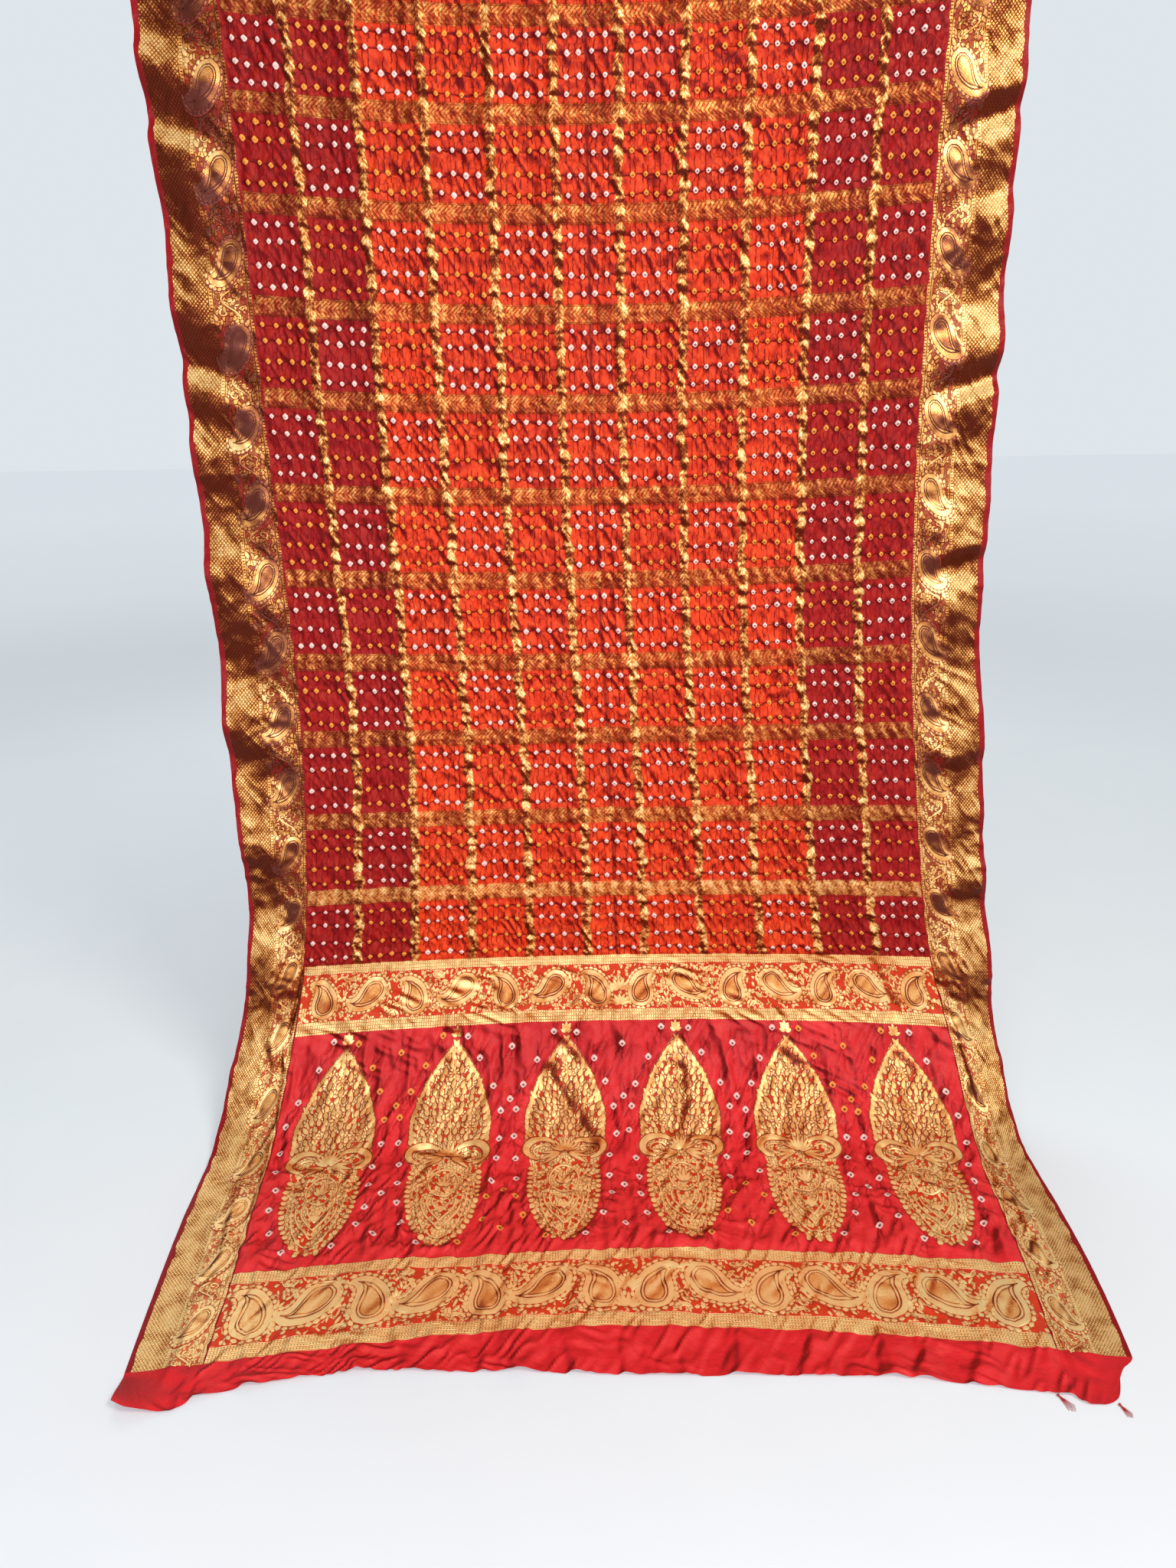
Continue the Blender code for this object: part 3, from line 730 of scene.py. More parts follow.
    # stripes 12 mm wide and bands 22 mm high, with rough edges
    rough = addNode(tree, "Math", {0: cloudy, 1: 0.007, 2: -0.0035}, operation="MULTIPLY_ADD")
    fromStripe = addNode(tree, "Math", {0: stripe.outputs[0]}, operation="ABSOLUTE")
    fromBand = addNode(tree, "Math", {0: band.outputs[1]}, operation="ABSOLUTE")
    swell = addNode(tree, "Attribute", output="Fac", attribute_name="swell")
    width = addNode(tree, "Math", {0: swell, 1: -0.0026, 2: rough}, operation="MULTIPLY_ADD")
    toStripeEdge = addNode(tree, "Math", {0: fromStripe, 1: width}, operation="ADD")
    onStripe = addNode(tree, "MapRange", {"Value": toStripeEdge, 1: 0.0054, 2: 0.0042})
    toBandEdge = addNode(tree, "Math", {0: fromBand, 1: rough}, operation="ADD")
    onBand = addNode(tree, "MapRange", {"Value": toBandEdge, 1: 0.0124, 2: 0.0106})
    gold = addNode(tree, "Math", {0: onStripe, 1: onBand}, operation="MAXIMUM")

    # wheat ears down the stripes: slanted leaves 6 mm long with dark gaps, and a dark middle line
    ear = addNode(tree, "Math", {0: cloudy, 1: 0.0030, 2: stripe.outputs[1]}, operation="MULTIPLY_ADD")
    ear = addNode(tree, "Math", {0: fromStripe, 1: -1.1, 2: ear}, operation="MULTIPLY_ADD")
    ear = addNode(tree, "Math", {0: ear, 1: 0.0030}, operation="PINGPONG")
    earLine = addNode(tree, "MapRange", {"Value": ear, 1: 0.0012, 2: 0.0003, 3: 0.0, 4: 0.65})
    middle = addNode(tree, "MapRange", {"Value": fromStripe, 1: 0.0009, 2: 0.0002, 3: 0.0, 4: 0.5})
    earLine = addNode(tree, "Math", {0: earLine, 1: middle}, operation="MAXIMUM")
    # small leaves along the bands, thin lines at their edges
    leaf = addNode(tree, "Math", {0: cloudy, 1: 0.0034, 2: band.outputs[0]}, operation="MULTIPLY_ADD")
    leaf = addNode(tree, "Math", {0: fromBand, 1: -0.9, 2: leaf}, operation="MULTIPLY_ADD")
    leaf = addNode(tree, "Math", {0: leaf, 1: 0.0026}, operation="PINGPONG")
    leafLine = addNode(tree, "MapRange", {"Value": leaf, 1: 0.0010, 2: 0.0002, 3: 0.0, 4: 0.55})
    rim = addNode(tree, "Math", {0: fromBand, 1: 0.0012}, operation="PINGPONG")
    rim = addNode(tree, "MapRange", {"Value": rim, 1: 0.0006, 2: 0.0002})
    nearRim = addNode(tree, "MapRange", {"Value": fromBand, 1: 0.0076, 2: 0.0082, 3: 0.0, 4: 0.5})
    rim = addNode(tree, "Math", {0: rim, 1: nearRim}, operation="MULTIPLY")
    leafLine = addNode(tree, "Math", {0: leafLine, 1: rim}, operation="MAXIMUM")
    lines = addNode(tree, "Mix", {0: onStripe, 2: leafLine, 3: earLine})
    # the bands lie flat with painted light on their gold: a dull brown, painted brighter near the patterned
    # end, with painted light and shade across each pleat
    down = across.outputs[1]
    flatGold = addNode(tree, "MapRange", {"Value": down, 1: 1.08, 2: 1.20, 3: 0.31, 4: 0.56})
    pleatWave = addNode(tree, "Math", {0: band.outputs[0], 1: bands["pleatPitch"]}, operation="DIVIDE")
    pleatWave = addNode(tree, "Math", {0: broad, 1: 0.5, 2: pleatWave}, operation="MULTIPLY_ADD")
    pleatWave = addNode(tree, "Math", {0: pleatWave}, operation="FRACT")
    pleatLight = addNode(tree, "ValToRGB", {"Fac": pleatWave})
    steps = pleatLight.node.color_ramp.elements
    steps[0].position, steps[0].color = 0.0, (0.3, 0.3, 0.3, 1)
    steps[1].position, steps[1].color = 0.74, (0.05, 0.05, 0.05, 1)
    steps.new(0.16).color = (0.62, 0.62, 0.62, 1)
    steps.new(0.84).color = (0.32, 0.32, 0.32, 1)
    pleatShift = addNode(tree, "Math", {0: pleatLight, 1: 0.55, 2: -0.16}, operation="MULTIPLY_ADD")
    flatGold = addNode(tree, "Math", {0: flatGold, 1: pleatShift}, operation="ADD")
    # stripes: random blotches, painted highlight where a stripe swells, painted shade towards the top
    blotches = addNode(tree, "Math", {0: broad, 1: 1.7, 2: -0.43}, operation="MULTIPLY_ADD")
    stripeGold = addNode(tree, "Math", {0: swell, 1: 0.26, 2: blotches}, operation="MULTIPLY_ADD")
    stripeGold = addNode(tree, "Math", {0: high, 1: -0.6, 2: stripeGold}, operation="MULTIPLY_ADD")
    shift = addNode(tree, "Mix", {0: onStripe, 2: flatGold, 3: stripeGold})
    coarse = addNode(tree, "Mix", {0: onStripe, 2: 0.90, 3: 0.95})
    grain = addNode(tree, "Math", {0: cloudy, 1: 0.5}, operation="SUBTRACT")
    grain = addNode(tree, "Math", {0: grain, 1: coarse}, operation="MULTIPLY")
    shift = addNode(tree, "Math", {0: shift, 1: grain}, operation="ADD")
    shift = addNode(tree, "Math", {0: lines, 1: -0.30, 2: shift}, operation="MULTIPLY_ADD")
    # painted shade and highlight on the gold, by how it faces the light
    thread = zariColour(tree, paintedShading, shift)
    share = addNode(tree, "Mix", {0: onStripe, 2: 0.66, 3: 0.88})
    share = addNode(tree, "Math", {0: gold, 1: share}, operation="MULTIPLY")
    colour = addNode(tree, "Mix", {0: share, 6: silkColour, 7: thread}, 2, data_type="RGBA")
    metal = addNode(tree, "Math", {0: gold, 1: 0.5}, operation="MULTIPLY")
    tree.links.new(colour, shader.inputs["Base Color"])
    tree.links.new(metal, shader.inputs["Metallic"])
    tree.links.new(addNode(tree, "Mix", {0: gold, 2: 0.50, 3: 0.40}), shader.inputs["Roughness"])
    shader.inputs["Specular IOR Level"].default_value = 0.12

    # heights in metres for the bumps: creases sink, facets tilt, tied peaks and gold leaves stand up
    height = addNode(tree, "Math", {0: creases, 1: -0.0007}, operation="MULTIPLY")
    height = addNode(tree, "Math", {0: facet, 1: -0.0011, 2: height}, operation="MULTIPLY_ADD")
    peak = addNode(tree, "MapRange", {"Value": radius, 1: 0.011, 2: 0.0, 3: 0.0, 4: 0.0022})
    height = addNode(tree, "Math", {0: peak, 1: height}, operation="ADD")
    leaves = addNode(tree, "Math", {0: lines, 1: -0.0009}, operation="MULTIPLY")
    leaves = addNode(tree, "Math", {0: cloudy, 1: 0.0010, 2: leaves}, operation="MULTIPLY_ADD")
    height = addNode(tree, "Mix", {0: gold, 2: height, 3: leaves})
    bump = addNode(tree, "Bump", {"Height": height, "Strength": 0.8, "Distance": 1.0})
    tree.links.new(bump, shader.inputs["Normal"])
    return material


def weaveNet(tree, inward, down, pitch):
    # a net of slanted lines, two families crossed, and how dark it is
    fall = addNode(tree, "Math", {0: down, 1: 0.8, 2: inward}, operation="MULTIPLY_ADD")
    rise = addNode(tree, "Math", {0: down, 1: -0.8, 2: inward}, operation="MULTIPLY_ADD")
    fall = addNode(tree, "Math", {0: fall, 1: pitch / 2}, operation="PINGPONG")
    rise = addNode(tree, "Math", {0: rise, 1: pitch / 2}, operation="PINGPONG")
    fromLine = addNode(tree, "Math", {0: fall, 1: rise}, operation="MINIMUM")
    return addNode(tree, "MapRange", {"Value": fromLine, 1: 0.0009, 2: 0.0002})


def ladderWork(tree, along, aside):
    # rungs 3.6 mm apart between lines 5.2 mm apart
    rungs = addNode(tree, "Math", {0: along, 1: 0.0018}, operation="PINGPONG")
    rows = addNode(tree, "Math", {0: aside, 1: 0.0026}, operation="PINGPONG")
    onRung = addNode(tree, "MapRange", {"Value": rungs, 1: 0.0007, 2: 0.0002})
    onRow = addNode(tree, "MapRange", {"Value": rows, 1: 0.0006, 2: 0.0002})
    between = addNode(tree, "MapRange", {"Value": rows, 1: 0.0010, 2: 0.0016})
    between = addNode(tree, "Math", {0: onRung, 1: between}, operation="MULTIPLY")
    return addNode(tree, "Math", {0: between, 1: onRow}, operation="MAXIMUM")


def leafFill(tree, weave, swayed, length):
    # packed small leaves, as Voronoi cells longer than wide: how dark their gaps are, and a number
    # for each leaf
    place = addNode(tree, "VectorMath", {0: swayed, 1: (0.010, 0.010, 0.0), 2: weave},
                    operation="MULTIPLY_ADD")
    place = addNode(tree, "VectorMath", {0: place, 1: (1.45 / length, 1.0 / length, 0.0)},
                    operation="MULTIPLY")
    gaps = addNode(tree, "TexVoronoi", {"Vector": place, "Scale": 1.0, "Randomness": 0.85},
                   feature="DISTANCE_TO_EDGE", voronoi_dimensions="2D")
    leaves = addNode(tree, "TexVoronoi", {"Vector": place, "Scale": 1.0, "Randomness": 0.85}, "Color",
                     voronoi_dimensions="2D")
    leaf = addNode(tree, "SeparateColor", {0: leaves}).node
    return addNode(tree, "MapRange", {"Value": gaps, 1: 0.13, 2: 0.03}), leaf.outputs[0]


def makeBorder():
    # woven gold border: a red selvedge, a net of fish scales, ladder lines and a red ground for the vine
    material, tree, shader = startMaterial("brocadeBorder")
    weave = addNode(tree, "UVMap", uv_map="weave")
    split = addNode(tree, "SeparateXYZ", {0: weave}).node
    inward, down = split.outputs[0], split.outputs[1]
    paintedShading = addNode(tree, "Attribute", output="Fac", attribute_name="paintedShading")
    cloudy = addNode(tree, "TexNoise", {"Vector": weave, "Scale": 300.0, "Detail": 3.0})
    broad = addNode(tree, "TexNoise", {"Vector": weave, "Scale": 40.0, "Detail": 2.0})
    swayed = addNode(tree, "VectorMath", {0: broad.node.outputs[1], 1: (0.5, 0.5, 0.5)},
                     operation="SUBTRACT")
    net = weaveNet(tree, inward, down, 0.0043)
    thin = ladderWork(tree, down, inward)
    # which strip: net from 7 to 46 mm, ladder to 53, red ground to 91, ladder to 97, then the field's red
    wavering = addNode(tree, "SeparateXYZ", {0: swayed}).node.outputs[0]
    wavering = addNode(tree, "Math", {0: wavering, 1: 0.010, 2: inward}, operation="MULTIPLY_ADD")
    wavering = addNode(tree, "Math", {0: wavering, 1: 10.0}, operation="MULTIPLY")
    strip = addNode(tree, "ValToRGB", {"Fac": wavering})
    ramp = strip.node.color_ramp
    ramp.interpolation = "CONSTANT"
    ramp.elements[0].position, ramp.elements[0].color = 0.0, (0, 0, 0, 1)
    ramp.elements[1].position, ramp.elements[1].color = 0.070, (1, 0, 0, 1)
    for place, colour in ((0.465, (0, 1, 0, 1)), (0.530, (0, 0, 1, 1)), (0.915, (0, 1, 0, 1)),
                          (0.975, (0, 0, 0, 1))):
        ramp.elements.new(place).color = colour
    parts = addNode(tree, "SeparateColor", {0: strip}).node
    woven = addNode(tree, "Math", {0: down, 1: cloth["plainEnd"][0]}, operation="LESS_THAN")
    onNet = addNode(tree, "Math", {0: parts.outputs[0], 1: woven}, operation="MULTIPLY")
    onLines = addNode(tree, "Math", {0: parts.outputs[1], 1: woven}, operation="MULTIPLY")
    onVine = addNode(tree, "Math", {0: parts.outputs[2], 1: woven}, operation="MULTIPLY")
    gold = addNode(tree, "Math", {0: onNet, 1: onLines}, operation="ADD")
    # the vine's ground is full of small gold leaves, red where one is missing
    gaps, leaf = leafFill(tree, weave, swayed, 0.0060)
    shot = addNode(tree, "MapRange", {"Value": leaf, 1: 0.38, 2: 0.44, 3: 0.15, 4: 1.0})
    shot = addNode(tree, "Math", {0: shot, 1: onVine}, operation="MULTIPLY")
    marks = addNode(tree, "Mix", {0: onLines, 2: net, 3: thin})
    marks = addNode(tree, "Mix", {0: onVine, 2: marks, 3: gaps})
    # the gold's painted brightness down the border, with random blotches and grain
    goldLevel = addNode(tree, "Attribute", output="Fac", attribute_name="goldLevel")
    level = addNode(tree, "Math", {0: broad, 1: 1.1, 2: goldLevel}, operation="MULTIPLY_ADD")
    level = addNode(tree, "Math", {0: cloudy, 1: 0.8, 2: level}, operation="MULTIPLY_ADD")
    level = addNode(tree, "Math", {0: level, 1: 0.92}, operation="SUBTRACT")
    shift = addNode(tree, "Math", {0: marks, 1: -0.42, 2: level}, operation="MULTIPLY_ADD")
    # painted shade and highlight on the gold, by how it faces the light
    thread = zariColour(tree, paintedShading, shift, "brown", 1.4)
    # painted shade on the red where it turns away from the light; the vine's red ground is painted darker
    # where the gold is painted dull
    dim = addNode(tree, "MapRange", {"Value": paintedShading, 1: 0.08, 2: -0.40, 3: 0.0, 4: 0.85})
    red = addNode(tree, "Mix", {0: woven, 6: hexColour(silk["plainRed"]), 7: hexColour(silk["selvedge"])},
                  2, data_type="RGBA")
    redder = addNode(tree, "MapRange", {"Value": goldLevel, 1: 0.55, 2: 0.80})
    ground = addNode(tree, "Mix", {0: redder, 6: hexColour(silk["shadedRed"]), 7: hexColour(silk["gapRed"])},
                     2, data_type="RGBA")
    red = addNode(tree, "Mix", {0: onVine, 6: red, 7: ground}, 2, data_type="RGBA")
    red = addNode(tree, "Mix", {0: dim, 6: red, 7: hexColour(silk["shadeRed"])}, 2, data_type="RGBA")
    amount = addNode(tree, "Math", {0: gold, 1: shot}, operation="MAXIMUM")
    colour = addNode(tree, "Mix", {0: amount, 6: red, 7: thread}, 2, data_type="RGBA")
    metal = addNode(tree, "Math", {0: amount, 1: 0.5}, operation="MULTIPLY")
    tree.links.new(colour, shader.inputs["Base Color"])
    tree.links.new(metal, shader.inputs["Metallic"])
    shader.inputs["Roughness"].default_value = 0.42
    shader.inputs["Specular IOR Level"].default_value = 0.14
    marked = addNode(tree, "Math", {0: marks, 1: amount}, operation="MULTIPLY")
    height = addNode(tree, "Math", {0: marked, 1: -0.0009}, operation="MULTIPLY")
    height = addNode(tree, "Math", {0: cloudy, 1: 0.0012, 2: height}, operation="MULTIPLY_ADD")
    bump = addNode(tree, "Bump", {"Height": height, "Strength": 0.7, "Distance": 1.0})
    tree.links.new(bump, shader.inputs["Normal"])
    return material


def makeEnd():
    # the patterned end: smooth red silk, crinkled between its dots, with ladder lines and gold under
    # the cones
    material, tree, shader = startMaterial("plainSilkEnd")
    weave = addNode(tree, "UVMap", uv_map="weave")
    split = addNode(tree, "SeparateXYZ", {0: weave}).node
    across, down = split.outputs[0], split.outputs[1]
    paintedShading = addNode(tree, "Attribute", output="Fac", attribute_name="paintedShading")
    reach = addNode(tree, "Attribute", output="Fac", attribute_name="coneReach")
    yellow = addNode(tree, "Attribute", output="Fac", attribute_name="yellow")
    cloudy = addNode(tree, "TexNoise", {"Vector": weave, "Scale": 300.0, "Detail": 3.0})
    broad = addNode(tree, "TexNoise", {"Vector": weave, "Scale": 60.0, "Detail": 2.0})
    patchy = addNode(tree, "TexNoise", {"Vector": weave, "Scale": 9.0, "Detail": 2.0})
    shaken = addNode(tree, "VectorMath", {0: cloudy.node.outputs[1], 1: (0.5, 0.5, 0.5)},
                     operation="SUBTRACT")
    swayed = addNode(tree, "VectorMath", {0: broad.node.outputs[1], 1: (0.5, 0.5, 0.5)},
                     operation="SUBTRACT")
    isPlain = addNode(tree, "Math", {0: down, 1: cloth["plainEnd"][0]}, operation="GREATER_THAN")
    red = addNode(tree, "Mix", {0: isPlain, 6: hexColour(silk["endRed"]), 7: hexColour(silk["plainRed"])},
                  2, data_type="RGBA")
    # painted highlight where the silk faces the light
    lit = addNode(tree, "Math", {0: paintedShading, 1: 1.6}, operation="MULTIPLY", use_clamp=True)
    red = addNode(tree, "Mix", {0: lit, 6: red, 7: hexColour(silk["endLight"])}, 2, data_type="RGBA")
    # pulled creases: they run on from each dot, up and down and aslant
    dot = addNode(tree, "UVMap", uv_map="dot")
    pulled = addNode(tree, "VectorMath", {0: swayed, 1: (0.012, 0.012, 0.0), 2: dot},
                     operation="MULTIPLY_ADD")
    offset = addNode(tree, "SeparateXYZ", {0: pulled}).node
    aside = addNode(tree, "Math", {0: offset.outputs[0]}, operation="ABSOLUTE")
    slant = addNode(tree, "Math", {0: offset.outputs[1], 1: 0.55, 2: offset.outputs[0]},
                    operation="MULTIPLY_ADD")
    slant = addNode(tree, "Math", {0: slant}, operation="ABSOLUTE")
    crease = addNode(tree, "Math", {0: aside, 1: slant}, operation="MINIMUM")
    farOff = addNode(tree, "VectorMath", {0: dot}, "Value", operation="LENGTH")
    nearBy = addNode(tree, "MapRange", {"Value": farOff, 1: 0.040, 2: 0.006})
    groove = addNode(tree, "MapRange", {"Value": crease, 1: 0.0060, 2: 0.0})
    groove = addNode(tree, "Math", {0: groove, 1: nearBy}, operation="MULTIPLY")
    crease = addNode(tree, "MapRange", {"Value": crease, 1: 0.0022, 2: 0.0005})
    crease = addNode(tree, "Math", {0: crease, 1: nearBy}, operation="MULTIPLY")
    broken = addNode(tree, "MapRange", {"Value": cloudy, 1: 0.35, 2: 0.5, 3: 0.3, 4: 1.0})
    crease = addNode(tree, "Math", {0: crease, 1: broken}, operation="MULTIPLY")
    # painted shade: where the silk turns away from the light, darker towards the top of the end, and in the
    # pulled creases; with random darker patches
    dim = addNode(tree, "MapRange", {"Value": paintedShading, 1: -0.01, 2: -0.30, 3: 0.0, 4: 0.80})
    cloud = addNode(tree, "Math", {0: patchy, 1: 0.6, 2: -0.34}, operation="MULTIPLY_ADD")
    turning = addNode(tree, "MapRange", {"Value": down, 1: 1.44, 2: 1.66, 3: 0.26, 4: 0.0})
    cloud = addNode(tree, "Math", {0: cloud, 1: turning}, operation="ADD")
    dim = addNode(tree, "Math", {0: cloud, 1: dim}, operation="ADD", use_clamp=True)
    dim = addNode(tree, "Math", {0: crease, 1: 0.6, 2: dim}, operation="MULTIPLY_ADD", use_clamp=True)
    red = addNode(tree, "Mix", {0: dim, 6: red, 7: hexColour(silk["shadeRed"])}, 2, data_type="RGBA")
    pale = addNode(tree, "Mix", {0: yellow, 6: hexColour(silk["white"]), 7: hexColour(silk["yellow"])}, 2,
                   data_type="RGBA")
    red, _ = addTiedDots(tree, red, dot, shaken, 0.66, pale, 0.9)

    gold = None
    for low, high in endParts["ladders"]:
        inside = addNode(tree, "Math", {0: down, 1: (low + high) / 2, 2: (high - low) / 2},
                         operation="COMPARE")
        gold = inside if gold is None else addNode(tree, "Math", {0: gold, 1: inside}, operation="MAXIMUM")
    ladder = ladderWork(tree, across, down)
    # under the cones and in the two bands of paisleys the ground is full of small leaves, red where
    # one is missing
    gaps, leaf = leafFill(tree, weave, swayed, 0.0062)
    onGround = addNode(tree, "Math", {0: down, 1: sum(endParts["ground"]) / 2, 2: 0.193},
                       operation="COMPARE")
    under = addNode(tree, "MapRange", {"Value": reach, 1: -1.6, 2: -2.6})
    under = addNode(tree, "Math", {0: under, 1: onGround}, operation="MULTIPLY")
    for low, high in (endParts["upperPaisleys"], endParts["lowerPaisleys"]):
        inside = addNode(tree, "Math", {0: down, 1: (low + high) / 2, 2: (high - low) / 2},
                         operation="COMPARE")
        under = addNode(tree, "Math", {0: under, 1: inside}, operation="MAXIMUM")
    needed = addNode(tree, "Math", {0: onGround, 1: -0.36, 2: 0.58}, operation="MULTIPLY_ADD")
    kept = addNode(tree, "Math", {0: leaf, 1: needed}, operation="GREATER_THAN")
    kept = addNode(tree, "Math", {0: kept, 1: under}, operation="MULTIPLY")
    level = addNode(tree, "Math", {0: cloudy, 1: 0.4, 2: 0.66}, operation="MULTIPLY_ADD")
    level = addNode(tree, "Math", {0: leaf, 1: 0.12, 2: level}, operation="MULTIPLY_ADD")
    marks = addNode(tree, "Mix", {0: under, 2: ladder, 3: gaps})
    level = addNode(tree, "Math", {0: marks, 1: -0.50, 2: level}, operation="MULTIPLY_ADD")
    # painted shade and highlight on the gold, by how it faces the light
    thread = zariColour(tree, paintedShading, level, "redBrown")
    # in the bands the gaps are red too, under the cones they are dark thread
    bare = addNode(tree, "Math", {0: onGround, 1: -0.75, 2: 0.75}, operation="MULTIPLY_ADD")
    bare = addNode(tree, "Math", {0: gaps, 1: bare}, operation="MULTIPLY")
    bare = addNode(tree, "Math", {0: 1.0, 1: bare}, operation="SUBTRACT")
    kept = addNode(tree, "Math", {0: kept, 1: bare}, operation="MULTIPLY")
    amount = addNode(tree, "Math", {0: gold, 1: kept}, operation="MAXIMUM")
    red = addNode(tree, "Mix", {0: under, 6: red, 7: hexColour(silk["gapRed"])}, 2, data_type="RGBA")
    colour = addNode(tree, "Mix", {0: amount, 6: red, 7: thread}, 2, data_type="RGBA")
    metal = addNode(tree, "Math", {0: amount, 1: 0.5}, operation="MULTIPLY")
    tree.links.new(colour, shader.inputs["Base Color"])
    tree.links.new(metal, shader.inputs["Metallic"])
    shader.inputs["Roughness"].default_value = 0.45
    shader.inputs["Specular IOR Level"].default_value = 0.14
    raised = addNode(tree, "Math", {0: marks, 1: amount}, operation="MULTIPLY")
    height = addNode(tree, "Math", {0: groove, 1: -0.0030}, operation="MULTIPLY")
    height = addNode(tree, "Math", {0: broad, 1: 0.0045, 2: height}, operation="MULTIPLY_ADD")
    height = addNode(tree, "Math", {0: cloudy, 1: 0.0006, 2: height}, operation="MULTIPLY_ADD")
    height = addNode(tree, "Math", {0: raised, 1: -0.0009, 2: height}, operation="MULTIPLY_ADD")
    bump = addNode(tree, "Bump", {"Height": height, "Strength": 0.7, "Distance": 1.0})
    tree.links.new(bump, shader.inputs["Normal"])
    return material


def makeZari(name, brown, gain):
    # woven gold motifs: float threads laid over the silk, with a fine twill across them
    material, tree, shader = startMaterial(name)
    weave = addNode(tree, "UVMap", uv_map="weave")
    paintedShading = addNode(tree, "Attribute", output="Fac", attribute_name="paintedShading")
    level = addNode(tree, "Attribute", output="Fac", attribute_name="goldLevel")
    edge = addNode(tree, "Attribute", output="Fac", attribute_name="edge")
    cloudy = addNode(tree, "TexNoise", {"Vector": weave, "Scale": 420.0, "Detail": 3.0})
    twill = addNode(tree, "TexWave", {"Vector": weave, "Scale": 190.0, "Distortion": 1.5, "Detail": 1.0},
                    bands_direction="DIAGONAL")
    # the gold's painted brightness, with random grain and the twill
    shift = addNode(tree, "Math", {0: cloudy, 1: 0.40, 2: -0.20}, operation="MULTIPLY_ADD")
    shift = addNode(tree, "Math", {0: level, 1: shift}, operation="ADD")
    shift = addNode(tree, "Math", {0: twill.node.outputs[1], 1: 0.10, 2: shift}, operation="MULTIPLY_ADD")
    # a dark outline at each leaf's edge, partly the motif's outline and partly painted shade where the edge
    # dips under
    outline = addNode(tree, "MapRange", {"Value": edge, 1: 0.42, 2: 0.10})
    shift = addNode(tree, "Math", {0: outline, 1: -0.56, 2: shift}, operation="MULTIPLY_ADD")
    # painted shade and highlight on the gold, by how it faces the light
    thread = zariColour(tree, paintedShading, shift, brown, gain)
    # and red silk round a paisley, painted darker where the gold is painted dull
    gap = addNode(tree, "MapRange", {"Value": edge, 1: 0.09, 2: 0.03})
    redder = addNode(tree, "MapRange", {"Value": level, 1: 0.45, 2: 0.75})
    red = addNode(tree, "Mix", {0: redder, 6: hexColour(silk["shadedRed"]), 7: hexColour(silk["gapRed"])},
                  2, data_type="RGBA")
    colour = addNode(tree, "Mix", {0: gap, 6: thread, 7: red}, 2, data_type="RGBA")
    metal = addNode(tree, "MapRange", {"Value": gap, 1: 0.0, 2: 1.0, 3: 0.5, 4: 0.0})
    tree.links.new(colour, shader.inputs["Base Color"])
    tree.links.new(metal, shader.inputs["Metallic"])
    shader.inputs["Roughness"].default_value = 0.42
    bump = addNode(tree, "Bump", {"Height": twill.node.outputs[1], "Strength": 0.3, "Distance": 0.0005})
    tree.links.new(bump, shader.inputs["Normal"])
    return material


# Woven motifs: flat drawings of petals and ribbons, each point x, y and a small height, in metres


def joinDrawings(drawings):
    points, quads, edge, start = [], [], [], 0
    for part in drawings:
        points.append(part["points"])
        quads.append(part["quads"] + start)
        edge.append(part["edge"])
        start += len(part["points"])
    return {"points": np.concatenate(points), "quads": np.concatenate(quads), "edge": np.concatenate(edge)}


def petals(x, y, heading, length, width, bend=0.0, blunt=0.75, crown=0.0010, steps=6, point=0.7):
    # leaves from (x, y) along heading: half width is sin(pi s^blunt)^point, bent sideways with s squared
    rows = [np.atleast_1d(np.asarray(row, float)) for row in (x, y, heading, length, width, bend)]
    x, y, heading, length, width, bend = np.broadcast_arrays(*rows)
    s = np.linspace(0, 1, steps)[None, :, None]
    q = np.array((-1.0, 0.0, 1.0))[None, None, :]
    profile = np.abs(np.sin(math.pi * s ** blunt)) ** point
    forward = s * length[:, None, None] + 0 * q
    side = q * profile * width[:, None, None] / 2 + bend[:, None, None] * length[:, None, None] * s ** 2
    c, n = np.cos(heading)[:, None, None], np.sin(heading)[:, None, None]
    raised = (1 - q * q) * profile + 0 * forward
    points = np.stack([x[:, None, None] + forward * c - side * n, y[:, None, None] + forward * n + side * c,
                       crown * raised], axis=-1)
    count = len(x)
    index = np.arange(count * 3 * steps).reshape(count, steps, 3)
    quads = np.stack([index[:, :-1, :-1], index[:, 1:, :-1], index[:, 1:, 1:], index[:, :-1, 1:]], axis=-1)
    return {"points": points.reshape(-1, 3), "quads": quads.reshape(-1, 4), "edge": raised.ravel()}


def ribbon(x, y, width, crown=0.0008, edge=None, columns=3, base=0.0):
    # a woven line along the points, raised in the middle: base + crown (1 - q^2) across it
    x, y = np.asarray(x, float), np.asarray(y, float)
    dx, dy = np.gradient(x), np.gradient(y)
    size = np.maximum(np.hypot(dx, dy), 1e-9)
    half = np.broadcast_to(np.asarray(width, float) / 2, x.shape)
    q = np.linspace(-1, 1, columns)
    raised = (1 - q * q) * np.ones_like(x)[:, None]
    rim = raised if edge is None else np.full_like(raised, edge)
    sideX, sideY = (-dy / size * half)[:, None] * q, (dx / size * half)[:, None] * q
    points = np.stack([x[:, None] + sideX, y[:, None] + sideY, base + crown * raised], axis=-1)
    index = np.arange(len(x) * columns).reshape(len(x), columns)
    quads = np.stack([index[:-1, :-1], index[1:, :-1], index[1:, 1:], index[:-1, 1:]], axis=-1)
    return {"points": points.reshape(-1, 3), "quads": quads.reshape(-1, 4), "edge": rim.ravel()}


